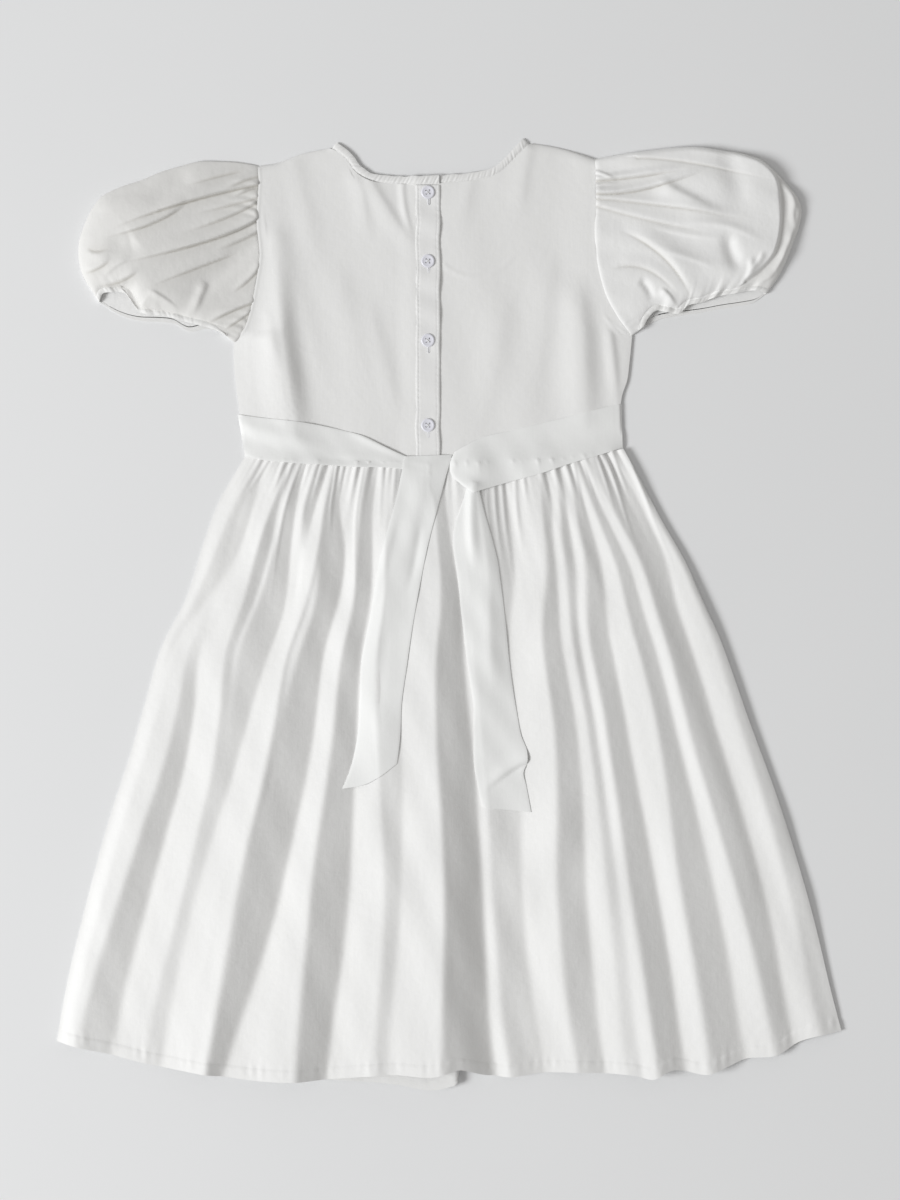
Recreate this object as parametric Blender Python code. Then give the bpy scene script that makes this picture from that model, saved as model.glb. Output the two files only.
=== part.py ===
"""A toddler's short-sleeved dress, lying flat with its back up, as the pieces it is cut and sewn from.

Its front lies on the table and its back lies on its front. The neck points to +Y and the hem to -Y.
Sizes are in millimetres and become metres when a mesh is made. Each piece of cloth is a wall with an
even thickness about a middle surface, and the middle surface is worked out from the piece's outline,
the way it lies and a short table of its largest folds.
"""

from collections import namedtuple

import bmesh
import bpy
import numpy as np
from mathutils import Vector
from mathutils.bvhtree import BVHTree

MM = 0.001
PATH_POINTS = 401  # of a dense outline
PATH_STEP = 20  # every so many of them, where an outline is thinned

# Driving sizes
WALL = 1.2  # cloth, and the interfacing inside the narrow strips
GAP = 0.3  # between pieces that touch
EDGE_REST = 0.9  # how high the middle of an upper panel ends where it rolls down to the table
ROLL = 9.0  # how far in from an edge the roll reaches
INSET = 4.2  # how far the front panels stay inside the rolled edge of the back
BINDING_WIDE = 6.0
NECK_GAP = 0.9  # plan gap along the curved binding
PLACKET_WIDE = 16.8
OPENING_X = -6.8  # where the placket's fold lies over the right half
SASH_LIFT = 1.5  # middle of the sash above what it lies on
SASH_FEELS = (-6.0, -3.0, 0.0, 3.0, 6.0)  # where it feels for support, about each of its points
SASH_EASINGS = 6  # how often its slopes are eased
BUTTON_WIDE = 9.6
BUTTON_THICK = 2.2
BUTTON_HEIGHTS = (303.5, 254.0, 197.0, 136.0)
CUFF_WIDE = 8.0
CUFF_MOST = 0.5  # the largest share of the sleeve that the cuff takes, where its underarm seam is short
CUFF_GAP = 1.8  # plan gap where the gathered wrist steps down to its cuff
ARMHOLE_GAP = 1.6  # plan gap at the armhole, where the sleeve stands up from the seam

FRONT_MIDDLE = WALL / 2
BACK_MIDDLE = WALL + 2 * GAP + WALL / 2


# ---------------------------------------------------------------------------------------------------
# Curves, patches and walls
# ---------------------------------------------------------------------------------------------------


def hermite(stations, values, at):
    """A smooth curve through the values at the stations, with slopes taken from its neighbours."""
    stations = np.asarray(stations, float)
    values = np.asarray(values, float)
    at = np.asarray(at, float)
    slopes = np.gradient(values, stations, axis=0)
    i = np.clip(np.searchsorted(stations, at, side="right") - 1, 0, len(stations) - 2)
    span = stations[i + 1] - stations[i]
    s = (at - stations[i]) / span
    if values.ndim > 1:
        s = s[..., None]
        span = span[..., None]
    rise = s * s * (3 - 2 * s)
    start = s * (1 - s) ** 2 * span
    end = s * s * (s - 1) * span
    return values[i] * (1 - rise) + values[i + 1] * rise + slopes[i] * start + slopes[i + 1] * end


def outline(*runs):
    """A dense path, evenly spaced, through runs of points. It is smooth in a run, with corners between."""
    dense = []
    for run in runs:
        points = np.asarray(run, float)
        chord = np.concatenate([[0], np.cumsum(np.hypot(*np.diff(points, axis=0).T))])
        dense.append(hermite(chord, points, np.linspace(0, chord[-1], 24 * len(points))))
    return resample(np.concatenate(dense))


def resample(path):
    """The same path with its points evenly spaced."""
    length = np.concatenate([[0], np.cumsum(np.hypot(*np.diff(path, axis=0).T))])
    even = np.linspace(0, length[-1], PATH_POINTS)
    return np.stack([np.interp(even, length, path[:, k]) for k in (0, 1)], axis=-1)


def along(path, t):
    """The point at share t of a path's length."""
    place = np.clip(t, 0, 1) * (len(path) - 1)
    return np.stack([np.interp(place, np.arange(len(path)), path[:, k]) for k in (0, 1)], axis=-1)


def offset(path, distance):
    """The path moved to its left by a distance."""
    step = np.gradient(path, axis=0)
    normal = np.stack([-step[:, 1], step[:, 0]], axis=-1)
    return path + distance * normal / np.linalg.norm(normal, axis=-1, keepdims=True)


def patch(top, bottom, left, right, across, down):
    """Points of the sheet that fills four paths, as Coons has it."""
    u = np.asarray(across, float)
    v = np.asarray(down, float)
    corner = [along(path, end) for path in (top, bottom) for end in (0.0, 1.0)]
    share_u = u[..., None]
    share_v = v[..., None]
    rows = (1 - share_v) * along(top, u) + share_v * along(bottom, u)
    columns = (1 - share_u) * along(left, v) + share_u * along(right, v)
    upper = (1 - share_u) * corner[0] + share_u * corner[1]
    lower = (1 - share_u) * corner[2] + share_u * corner[3]
    return rows + columns - (1 - share_v) * upper - share_v * lower


def ease(t):
    """From 0 to 1 with no kink at either end."""
    t = np.clip(t, 0, 1)
    return t * t * (3 - 2 * t)


def rolled(distance, reach=ROLL):
    """The quarter-round by which an edge rises, from 0 at the edge to 1 at the reach."""
    return np.sqrt(1 - (1 - np.clip(distance / reach, 0, 1)) ** 2)


def ridge_height(points, rows):
    """Height of soft folds, each along a bent line through three points, tapering at both ends."""
    total = np.zeros(points.shape[:-1])
    for row in rows:
        t = np.linspace(0, 1, 40)[:, None]
        line = np.array(row.start) * (1 - t) ** 2 + np.array(row.end) * t * t
        line = line + 2 * t * (1 - t) * (2 * np.array(row.middle) - (np.array(row.start) + row.end) / 2)
        away = np.linalg.norm(points[..., None, :] - line, axis=-1)
        nearest = np.argmin(away, axis=-1)
        taper = np.sin(np.pi * np.clip(nearest / 39, 0.0, 1.0)) ** 0.5
        open_end = ease(nearest / 39 * 3) if row.runs_off else taper
        total = total + row.height * open_end * np.exp(-((away.min(axis=-1) / row.half_width) ** 2))
    return total


Ridge = namedtuple("Ridge", "start middle end half_width height runs_off")


def normals_of(points, closed):
    """Unit normals of a grid of points, from the steps to each point's neighbours."""
    down = np.gradient(points, axis=0)
    if closed:
        round_it = (np.roll(points, -1, axis=1) - np.roll(points, 1, axis=1)) / 2
    else:
        round_it = np.gradient(points, axis=1)
    normal = np.cross(down, round_it)
    return normal / np.maximum(np.linalg.norm(normal, axis=-1, keepdims=True), 1e-9)


def wall(name, middle, material, closed=False):
    """A wall of cloth about a grid of middle points. A closed grid is a tube, open at both ends."""
    half = WALL / 2 * normals_of(middle, closed)
    layers = (middle + half, middle - half)
    rows, columns = middle.shape[:2]
    mesh = bmesh.new()
    grids = []
    for layer in layers:
        grids.append([[mesh.verts.new(point * MM) for point in row] for row in layer])
    last = columns if closed else columns - 1
    for i in range(rows - 1):
        for j in range(last):
            k = (j + 1) % columns
            for grid in grids:
                mesh.faces.new((grid[i][j], grid[i + 1][j], grid[i + 1][k], grid[i][k]))
    for j in range(last):
        k = (j + 1) % columns
        for i in (0, rows - 1):
            mesh.faces.new((grids[0][i][j], grids[0][i][k], grids[1][i][k], grids[1][i][j]))
    if not closed:
        for i in range(rows - 1):
            for j in (0, columns - 1):
                mesh.faces.new((grids[0][i][j], grids[0][i + 1][j], grids[1][i + 1][j], grids[1][i][j]))
    bmesh.ops.recalc_face_normals(mesh, faces=mesh.faces)
    return finished(name, mesh, material)


def finished(name, mesh, material):
    """The named object that holds a mesh, shaded smooth where it bends softly."""
    data = bpy.data.meshes.new(name)
    mesh.to_mesh(data)
    mesh.free()
    data.materials.append(material)
    data.shade_smooth()
    data.set_sharp_from_angle(angle=0.9)
    made = bpy.data.objects.new(name, data)
    bpy.context.scene.collection.objects.link(made)
    return made


def solid_material(name, colour, roughness):
    """One finish."""
    material = bpy.data.materials.new(name)
    material.use_nodes = True
    shader = material.node_tree.nodes["Principled BSDF"]
    shader.inputs["Base Color"].default_value = (*colour, 1.0)
    shader.inputs["Roughness"].default_value = roughness
    shader.inputs["Metallic"].default_value = 0.0
    return material


def trees_of(pieces):
    """What rays from above are cast on, one tree for each piece."""
    trees = []
    for piece in pieces:
        corners = [vertex.co for vertex in piece.data.vertices]
        trees.append(BVHTree.FromPolygons(corners, [tuple(face.vertices) for face in piece.data.polygons]))
    return trees


def height_at(trees, x, y):
    """How high the pieces reach at a point seen from above, or 0 for the table."""
    start = Vector((x * MM, y * MM, 200 * MM))
    hits = [tree.ray_cast(start, Vector((0, 0, -1)))[0] for tree in trees]
    return max([0.0] + [hit.z / MM for hit in hits if hit is not None])


def resting(points, pieces):
    """A strip laid on the pieces below, over their crests and part of the way into their hollows."""
    trees = trees_of(pieces)
    support = np.zeros(points.shape[:-1])
    for place in np.ndindex(support.shape):
        x, y = points[place]
        near = [(x + dx, y + dy) for dx in SASH_FEELS for dy in SASH_FEELS]
        support[place] = max(height_at(trees, *spot) for spot in near)
    height = support.copy()
    for _ in range(SASH_EASINGS):
        for axis in (0, 1):
            level = np.moveaxis(height, axis, 0)
            eased = level.copy()
            eased[1:-1] = (level[:-2] + 2 * level[1:-1] + level[2:]) / 4
            height = np.maximum(support, np.moveaxis(eased, 0, axis))
    return np.concatenate([points, (height + SASH_LIFT)[..., None]], axis=-1)


# ---------------------------------------------------------------------------------------------------
# Outlines, as the dress lies
# ---------------------------------------------------------------------------------------------------

SHOULDER_TIP = {"left": (-137.5, 322.2), "right": (105.8, 327.2)}
NECK_POINT = {"left": (-80.6, 339.5), "right": (53.3, 342.4)}
UNDERARM = {"left": (-154.8, 196.2), "right": (131.8, 201.0)}
SIDE_WAIST = {"left": (-146.9, 113.4), "right": (125.3, 119.0)}
HEM_CORNER = {"left": (-282.2, -307.1), "right": (282.2, -299.2)}

SHOULDER = {
    "left": [SHOULDER_TIP["left"], (-107.3, 330.8), NECK_POINT["left"]],
    "right": [NECK_POINT["right"], (69.1, 337.3), (90.7, 332.3), SHOULDER_TIP["right"]],
}
BACK_NECK = {
    "left": [
        NECK_POINT["left"],
        (-69.8, 330.8),
        (-62.6, 321.5),
        (-54.0, 316.8),
        (-35.3, 315.0),
        (OPENING_X - GAP, 315.6),
    ],
    "right": [
        (OPENING_X + GAP, 315.6),
        (4.3, 316.4),
        (22.3, 318.6),
        (33.1, 322.2),
        (42.5, 330.8),
        NECK_POINT["right"],
    ],
}
FRONT_NECK = [
    (NECK_POINT["left"][0] + INSET, NECK_POINT["left"][1] - INSET - 1),
    (-72.0, 308.0),
    (-57.0, 276.0),
    (-30.0, 255.0),
    (-12.0, 250.5),
    (8.0, 254.0),
    (32.0, 274.0),
    (45.0, 306.0),
    (NECK_POINT["right"][0] - INSET, NECK_POINT["right"][1] - INSET - 1),
]
ARMHOLE = {
    "left": [
        SHOULDER_TIP["left"],
        (-137.5, 298.4),
        (-138.2, 280.4),
        (-136.1, 256.7),
        (-139.0, 237.2),
        (-142.6, 219.2),
        (-147.6, 204.8),
        UNDERARM["left"],
    ],
    "right": [
        SHOULDER_TIP["right"],
        (106.4, 298.4),
        (105.8, 269.6),
        (107.5, 253.0),
        (110.2, 240.8),
        (114.5, 227.9),
        (121.7, 214.8),
        UNDERARM["right"],
    ],
}
BODICE_SIDE = {
    "left": [UNDERARM["left"], (-154.1, 176.0), (-151.9, 154.4), (-149.0, 132.0), SIDE_WAIST["left"]],
    "right": [UNDERARM["right"], (129.4, 179.6), (126.5, 163.0), (123.8, 148.0), SIDE_WAIST["right"]],
}
WAIST = [
    SIDE_WAIST["left"],
    (-92.9, 110.5),
    (-35.3, 109.8),
    (36.7, 110.5),
    (87.1, 113.4),
    SIDE_WAIST["right"],
]
SKIRT_SIDE = {
    "left": [
        SIDE_WAIST["left"],
        (-164.9, 82.4),
        (-190.8, 7.6),
        (-222.5, -68.8),
        (-241.9, -139.3),
        (-262.1, -212.8),
        HEM_CORNER["left"],
    ],
    "right": [
        SIDE_WAIST["right"],
        (151.9, 68.0),
        (189.4, -18.4),
        (213.1, -66.6),
        (236.2, -132.1),
        (261.4, -215.6),
        HEM_CORNER["right"],
    ],
}
HEM = [
    HEM_CORNER["left"],
    (-215.3, -322.9),
    (-136.1, -333.7),
    (-56.9, -337.6),
    (-10.0, -341.6),
    (18.7, -334.5),
    (108.7, -329.6),
    (173.5, -328.7),
    (225.4, -317.9),
    HEM_CORNER["right"],
]
HEM_STEP = 7.0  # how much lower the front's hem hangs where it shows below the back's
HEM_STEP_FROM, HEM_STEP_MIDDLE, HEM_STEP_TO = 0.395, 0.46, 0.515  # as shares of the hem from its left end

skirt_sides = [outline(WAIST), outline(HEM), outline(SKIRT_SIDE["left"]), outline(SKIRT_SIDE["right"])]
SKIRT_LONG = 443.0


# ---------------------------------------------------------------------------------------------------
# Skirt: a front and a back, gathered into the waist seam
# ---------------------------------------------------------------------------------------------------

Fold = namedtuple("Fold", "across height")
FOLD_STATIONS = (0.0, 0.15, 0.4, 0.7, 1.0)  # shares of the way from waist to hem

# Crests and the hollows between them on the back, from its left edge to its right one. Across is the
# share of the panel's width at each station, and height is in millimetres above the panel's own rest.
BACK_FOLDS = (
    Fold((0.000, 0.000, 0.000, 0.000, 0.000), (0.0, 0.0, 0.0, 0.0, 0.0)),
    Fold((0.040, 0.040, 0.048, 0.042, 0.026), (2.0, 2.5, 4.5, 6.5, 5.0)),
    Fold((0.066, 0.064, 0.080, 0.083, 0.072), (1.0, 1.0, 1.5, 0.5, 0.5)),
    Fold((0.110, 0.115, 0.125, 0.130, 0.112), (3.0, 6.0, 7.0, 6.5, 3.5)),
    Fold((0.165, 0.180, 0.166, 0.150, 0.132), (1.0, 2.0, 5.8, 6.0, 2.8)),
    Fold((0.205, 0.235, 0.224, 0.206, 0.190), (3.0, 7.5, 11.0, 12.5, 11.0)),
    Fold((0.262, 0.300, 0.288, 0.264, 0.212), (0.5, 1.0, 2.5, 4.0, 6.0)),
    Fold((0.300, 0.326, 0.318, 0.305, 0.304), (3.0, 4.5, 6.5, 10.0, 13.0)),
    Fold((0.335, 0.362, 0.358, 0.358, 0.342), (0.5, 0.5, 1.5, 2.0, 4.0)),
    Fold((0.370, 0.392, 0.397, 0.407, 0.402), (3.0, 5.0, 6.5, 8.5, 10.0)),
    Fold((0.402, 0.436, 0.440, 0.430, 0.420), (1.5, 3.0, 5.5, 7.0, 9.0)),
    Fold((0.470, 0.502, 0.488, 0.492, 0.490), (3.0, 6.0, 11.0, 13.0, 15.0)),
    Fold((0.520, 0.532, 0.546, 0.547, 0.556), (0.5, 2.5, 1.0, 1.0, 1.0)),
    Fold((0.545, 0.552, 0.562, 0.562, 0.575), (1.5, 3.5, 2.2, 2.5, 3.5)),
    Fold((0.668, 0.652, 0.620, 0.606, 0.618), (0.5, 1.5, 0.5, 0.0, 0.0)),
    Fold((0.765, 0.735, 0.676, 0.655, 0.656), (3.0, 6.0, 7.5, 6.5, 4.5)),
    Fold((0.778, 0.752, 0.721, 0.697, 0.690), (1.0, 3.0, 2.0, 2.0, 1.5)),
    Fold((0.792, 0.770, 0.738, 0.726, 0.718), (2.5, 5.0, 3.5, 5.5, 5.0)),
    Fold((0.804, 0.786, 0.753, 0.742, 0.736), (1.5, 2.5, 3.0, 5.4, 6.0)),
    Fold((0.820, 0.801, 0.769, 0.758, 0.757), (3.0, 5.0, 5.5, 7.0, 9.0)),
    Fold((0.845, 0.838, 0.805, 0.798, 0.793), (0.5, 1.5, 1.5, 1.5, 3.0)),
    Fold((0.868, 0.867, 0.854, 0.830, 0.826), (2.5, 5.0, 6.5, 6.5, 6.5)),
    Fold((0.885, 0.886, 0.884, 0.877, 0.872), (1.0, 2.5, 3.5, 2.0, 0.5)),
    Fold((0.908, 0.912, 0.906, 0.904, 0.912), (2.5, 5.0, 6.0, 6.0, 4.0)),
    Fold((0.940, 0.962, 0.950, 0.943, 0.938), (0.5, 0.5, 0.2, 0.2, 0.2)),
    Fold((0.972, 0.983, 0.980, 0.976, 0.974), (2.0, 2.5, 3.0, 4.0, 3.0)),
    Fold((1.000, 1.000, 1.000, 1.000, 1.000), (0.0, 0.0, 0.0, 0.0, 0.0)),
)

# Flattened folds of the front, which the dress lies on: each a crest along a line from waist to hem.
FrontFold = namedtuple("FrontFold", "waist hem height_waist height_hem half_width")
FRONT_FOLDS = (
    FrontFold(0.10, 0.09, 0.8, 1.6, 0.016),
    FrontFold(0.20, 0.17, 1.0, 0.8, 0.012),
    FrontFold(0.30, 0.27, 0.8, 2.0, 0.018),
    FrontFold(0.41, 0.37, 0.6, 1.2, 0.014),
    FrontFold(0.52, 0.52, 1.0, 2.2, 0.017),
    FrontFold(0.62, 0.61, 0.8, 1.0, 0.012),
    FrontFold(0.72, 0.71, 1.0, 1.8, 0.016),
    FrontFold(0.81, 0.83, 0.8, 1.4, 0.013),
    FrontFold(0.91, 0.93, 0.6, 1.6, 0.015),
)


def front_relief(across, down):
    """Height of the front's folds above the table."""
    total = np.zeros(np.broadcast(across, down).shape)
    for fold in FRONT_FOLDS:
        place = fold.waist + (fold.hem - fold.waist) * down
        height = fold.height_waist + (fold.height_hem - fold.height_waist) * down
        total = total + height * np.exp(-(((across - place) / fold.half_width) ** 2))
    return total


def hem_step(across):
    """1 where the front's hem hangs below the back's, and 0 where it stays inside."""
    rise = ease((across - HEM_STEP_FROM) / (HEM_STEP_MIDDLE - HEM_STEP_FROM))
    fall = ease((HEM_STEP_TO - across) / 0.02)
    return rise * fall


def skirt_back_middle(steps, rows):
    """The back's middle surface, with a given number of steps from each crest or hollow to the next."""
    middle = []
    for down in rows:
        lines = np.array([hermite(FOLD_STATIONS, fold.across, down) for fold in BACK_FOLDS])
        heights = np.array([hermite(FOLD_STATIONS, fold.height, down) for fold in BACK_FOLDS])
        place = np.linspace(0, len(BACK_FOLDS) - 1, steps * (len(BACK_FOLDS) - 1) + 1)
        before = np.clip(place.astype(int), 0, len(BACK_FOLDS) - 2)
        share = place - before
        across = lines[before] * (1 - share) + lines[before + 1] * share
        relief = heights[before] * (1 - ease(share)) + heights[before + 1] * ease(share)
        reach = 1 - hem_step(across) * HEM_STEP / SKIRT_LONG
        points = patch(*skirt_sides, across, down * reach)
        width = np.hypot(*(points[-1] - points[0]))
        rise = rolled(np.minimum(across, 1 - across) * width)
        level = BACK_MIDDLE + GAP + front_relief(across, down)
        z = EDGE_REST + (level + relief - EDGE_REST) * rise
        middle.append(np.concatenate([points, z[:, None]], axis=-1))
    return np.array(middle)


def skirt_front_middle(columns, rows):
    """The front's middle surface, inside the back's rolled edges."""
    middle = []
    for down in rows:
        width = np.hypot(*(patch(*skirt_sides, 1.0, down) - patch(*skirt_sides, 0.0, down)))
        margin = INSET / width
        across = np.linspace(margin, 1 - margin, columns)
        reach = 1 - (1 - hem_step(across)) * INSET / SKIRT_LONG
        points = patch(*skirt_sides, across, down * reach)
        z = FRONT_MIDDLE + front_relief(across, down)
        middle.append(np.concatenate([points, z[:, None]], axis=-1))
    return np.array(middle)


def make_skirt(cloth):
    """The two skirt panels, just below the waist seam."""
    start = GAP / SKIRT_LONG
    rows = (start, 0.06, 0.15, 0.27, 0.4, 0.55, 0.7, 0.85, 1.0)
    back = wall("skirt_back", skirt_back_middle(2, rows), cloth)
    front = wall("skirt_front", skirt_front_middle(35, (start, 0.2, 0.4, 0.6, 0.8, 1.0)), cloth)
    return front, back


# ---------------------------------------------------------------------------------------------------
# Bodice: a front, and a back in two halves under a buttoned placket
# ---------------------------------------------------------------------------------------------------

ARMHOLE_HEIGHT = 4.4  # middle of the back's edge where the puffed sleeve is set in
ARMHOLE_REACH = 32.0
SHOULDER_ROLL = 6.0
SHOULDER_MEETS_NECK = {"left": -86.0, "right": 58.5}
FRONT_SHOULDER_MEETS_NECK = 333.0
# Columns of a half, as shares of its shoulder and then of its neck, close together where it rolls down
SHOULDER_COLUMNS = (0, 0.03, 0.08, 0.18, 0.38, 0.6, 0.8)
NECK_COLUMNS = 9
HALF_ROWS = (0, 0.008, 0.022, 0.06, 0.14, 0.23, 0.32, 0.41, 0.5, 0.59, 0.7, 0.85, 1)
BODICE_FOLDS = (
    Ridge((-137.0, 242.0), (-117.5, 191.0), (-108.5, 112.0), 13.0, 6.5, True),
    Ridge((99.0, 262.0), (101.0, 190.0), (103.0, 112.0), 12.0, 3.6, True),
    Ridge((-58.0, 306.0), (-43.0, 283.0), (-27.0, 262.0), 6.5, 1.8, False),
    Ridge((48.0, 330.0), (47.0, 305.0), (38.0, 270.0), 9.0, 1.6, False),
)


def bodice_height(points, outer, down, armhole_share, shoulder_share):
    """Height of a back half's middle: full inside, rolled down at its side seam and at its shoulder."""
    width = np.linalg.norm(points[:, -1] - points[:, 0], axis=-1)[:, None]
    fall = np.linalg.norm(points[-1] - points[0], axis=-1)[None, :]
    full = BACK_MIDDLE + GAP + ridge_height(points, BODICE_FOLDS)
    side = EDGE_REST + (full - EDGE_REST) * rolled(outer * width)
    armhole = ARMHOLE_HEIGHT + (full - ARMHOLE_HEIGHT) * ease(outer * width / ARMHOLE_REACH)
    in_armhole = 1 - ease((down - armhole_share + 0.06) / 0.06)
    level = side + (armhole - side) * in_armhole
    over_shoulder = ease((shoulder_share - outer) / 0.04)
    shoulder = EDGE_REST + (level - EDGE_REST) * rolled(down * fall, SHOULDER_ROLL)
    return level + (shoulder - level) * over_shoulder


def length_of(path):
    """A path's length."""
    return np.hypot(*np.diff(np.asarray(path, float), axis=0).T).sum()


def part_of(path, low, high):
    """The stretch of a path between two values of x, evenly spaced again."""
    inside = path[(path[:, 0] > low) & (path[:, 0] < high)]
    ends = [[x, np.interp(x, path[:, 0], path[:, 1])] for x in (low, high)]
    return resample(np.vstack([ends[0], inside, ends[1]]))


def bodice_back_middle(side):
    """The middle surface of one back half, from its armhole to the centre back."""
    left = side == "left"
    lap = OPENING_X - PLACKET_WIDE + (-GAP if left else GAP)
    outer = outline(ARMHOLE[side], BODICE_SIDE[side])
    neck = offset(outline(BACK_NECK[side]), -BINDING_WIDE - NECK_GAP)
    waist = outline(WAIST)
    if left:
        neck = part_of(neck, SHOULDER_MEETS_NECK["left"], lap)
        foot = part_of(waist, waist[0, 0], lap)
    else:
        neck = part_of(neck, lap, SHOULDER_MEETS_NECK["right"])
        foot = part_of(waist, lap, waist[-1, 0])
    shoulder = np.array(SHOULDER[side], float)
    shoulder[-1 if left else 0] = neck[0] if left else neck[-1]
    thinned = neck[::PATH_STEP]
    top = outline(shoulder, thinned) if left else outline(thinned, shoulder)
    inner = resample(np.array([neck[-1] if left else neck[0], foot[-1] if left else foot[0]]))
    sides = (outer, inner) if left else (inner, outer)
    corner = length_of(shoulder) / length_of(top)
    neck_columns = corner + (1 - corner) * np.linspace(0, 1, NECK_COLUMNS)
    columns = np.concatenate([corner * np.array(SHOULDER_COLUMNS), neck_columns])
    across, down = np.meshgrid(columns if left else 1 - columns[::-1], HALF_ROWS)
    points = patch(top, foot, *sides, across, down)
    z = bodice_height(
        points,
        across if left else 1 - across,
        down,
        length_of(ARMHOLE[side]) / length_of(outer),
        corner,
    )
    return np.concatenate([points, z[..., None]], axis=-1)


def bodice_front_middle():
    """The front's middle surface, flat on the table, inside the rolled edges of the back."""
    sides = {}
    for side, inward in (("left", 1), ("right", -1)):
        path = outline(ARMHOLE[side], BODICE_SIDE[side])
        armhole_share = length_of(ARMHOLE[side]) / length_of(path)
        share = np.linspace(0, 1, len(path))
        path[:, 0] += inward * INSET * ease((share - armhole_share + 0.14) / 0.06)
        path[:, 1] -= (INSET + GAP) * ease((0.05 - share) / 0.05)
        sides[side] = resample(path)
    neck = offset(outline(FRONT_NECK), -BINDING_WIDE - NECK_GAP)
    neck = resample(neck[neck[:, 1] < FRONT_SHOULDER_MEETS_NECK])[::PATH_STEP]
    left_shoulder = [sides["left"][0], np.array(SHOULDER["left"][1]) - [0, INSET + 1], neck[0]]
    right_shoulder = [neck[-1], np.array(SHOULDER["right"][2]) - [0, INSET + 1], sides["right"][0]]
    top = outline(left_shoulder, neck, right_shoulder)
    foot = part_of(outline(WAIST), sides["left"][-1, 0], sides["right"][-1, 0])
    across, down = np.meshgrid(np.linspace(0, 1, 21), np.linspace(0, 1, 12))
    points = patch(top, foot, sides["left"], sides["right"], across, down)
    return np.concatenate([points, np.full(across.shape + (1,), FRONT_MIDDLE)], axis=-1)


def make_bodice(cloth):
    """The front, and then the two halves of the back. The right half runs on under the placket."""
    wall("bodice_front", bodice_front_middle(), cloth)
    return [wall("bodice_back_" + side, bodice_back_middle(side), cloth) for side in ("left", "right")]


# ---------------------------------------------------------------------------------------------------
# Neck binding, placket and buttons
# ---------------------------------------------------------------------------------------------------

PLACKET_LIFT = WALL + 2 * GAP


def binding_middle(neck, shares, heights):
    """A strip as wide as the binding, along the inner side of a neck edge."""
    outer = outline(neck)
    inner = offset(outer, -BINDING_WIDE)
    rows = [along(path, np.asarray(shares)) for path in (outer, inner)]
    points = np.stack(rows)
    z = np.broadcast_to(heights, points.shape[:-1])
    return np.concatenate([points, z[..., None]], axis=-1)


def make_neck_binding(cloth):
    """The bias binding of the neck, in the three stretches that meet at the shoulder seams."""
    level = BACK_MIDDLE + GAP
    from_shoulder = np.array([0, 0.012, 0.03, 0.06, 0.12, 0.2, 0.29, 0.38, 0.5, 0.62, 0.72, 0.8, 0.88, 1.0])
    for side in ("left", "right"):
        length = length_of(BACK_NECK[side])
        heights = EDGE_REST + (level - EDGE_REST) * rolled(from_shoulder * length, SHOULDER_ROLL)
        if side == "left":
            heights = heights + PLACKET_LIFT * ease((from_shoulder - 0.68) / 0.14)
        else:
            heights = heights[::-1]
        shares = from_shoulder if side == "left" else 1 - from_shoulder[::-1]
        wall("neck_binding_back_" + side, binding_middle(BACK_NECK[side], shares, heights), cloth)
    wall("neck_binding_front", binding_middle(FRONT_NECK, np.linspace(0, 1, 21), FRONT_MIDDLE), cloth)


def make_placket(cloth):
    """The doubled strip that carries the buttonholes, lapped over the right half."""
    top = np.interp(OPENING_X - PLACKET_WIDE / 2, [-60, -20], [310.0, 308.9]) - GAP
    x, y = np.meshgrid(
        np.linspace(OPENING_X - PLACKET_WIDE, OPENING_X, 3), np.linspace(top, WAIST[2][1] + GAP, 6)
    )
    z = np.full(x.shape, BACK_MIDDLE + GAP + PLACKET_LIFT)
    return wall("back_placket", np.stack([x, y, z], axis=-1), cloth)


BUTTON_SIDES = 12
# The button's turned profile, from its middle out to its rim and back: radius and height as shares.
BUTTON_PROFILE = ((0.0, 0.0), (0.86, 0.0), (1.0, 0.38), (0.94, 0.86), (0.8, 1.0), (0.66, 0.72), (0.0, 0.62))
THREAD_HOLE_WIDE = 1.3
THREAD_HOLES_APART = 2.5


def button_mesh(material):
    """A rimmed sew-through button, before its holes are drilled."""
    mesh = bmesh.new()
    rings = []
    for radius, height in BUTTON_PROFILE:
        r = radius * BUTTON_WIDE / 2 * MM
        z = height * BUTTON_THICK * MM
        if radius == 0:
            rings.append([mesh.verts.new((0, 0, z))])
            continue
        turns = np.linspace(0, 2 * np.pi, BUTTON_SIDES, endpoint=False)
        rings.append([mesh.verts.new((r * np.cos(a), r * np.sin(a), z)) for a in turns])
    for lower, upper in zip(rings, rings[1:]):
        for j in range(BUTTON_SIDES):
            k = (j + 1) % BUTTON_SIDES
            below = (lower[j % len(lower)], lower[k % len(lower)])
            above = (upper[k % len(upper)], upper[j % len(upper)])
            mesh.faces.new(tuple(dict.fromkeys(below + above)))
    bmesh.ops.recalc_face_normals(mesh, faces=mesh.faces)
    data = bpy.data.meshes.new("button")
    mesh.to_mesh(data)
    mesh.free()
    data.materials.append(material)
    data.shade_smooth()
    data.set_sharp_from_angle(angle=0.6)
    return data


def thread_holes_mesh():
    """The four cutters of a button's thread holes."""
    mesh = bmesh.new()
    for dx in (-0.5, 0.5):
        for dy in (-0.5, 0.5):
            made = bmesh.ops.create_cone(
                mesh,
                cap_ends=True,
                segments=5,
                radius1=THREAD_HOLE_WIDE / 2 * MM,
                radius2=THREAD_HOLE_WIDE / 2 * MM,
                depth=4 * BUTTON_THICK * MM,
            )
            shift = Vector((dx * THREAD_HOLES_APART * MM, dy * THREAD_HOLES_APART * MM, 0))
            bmesh.ops.translate(mesh, verts=made["verts"], vec=shift)
    data = bpy.data.meshes.new("thread_holes")
    mesh.to_mesh(data)
    mesh.free()
    return data


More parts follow.
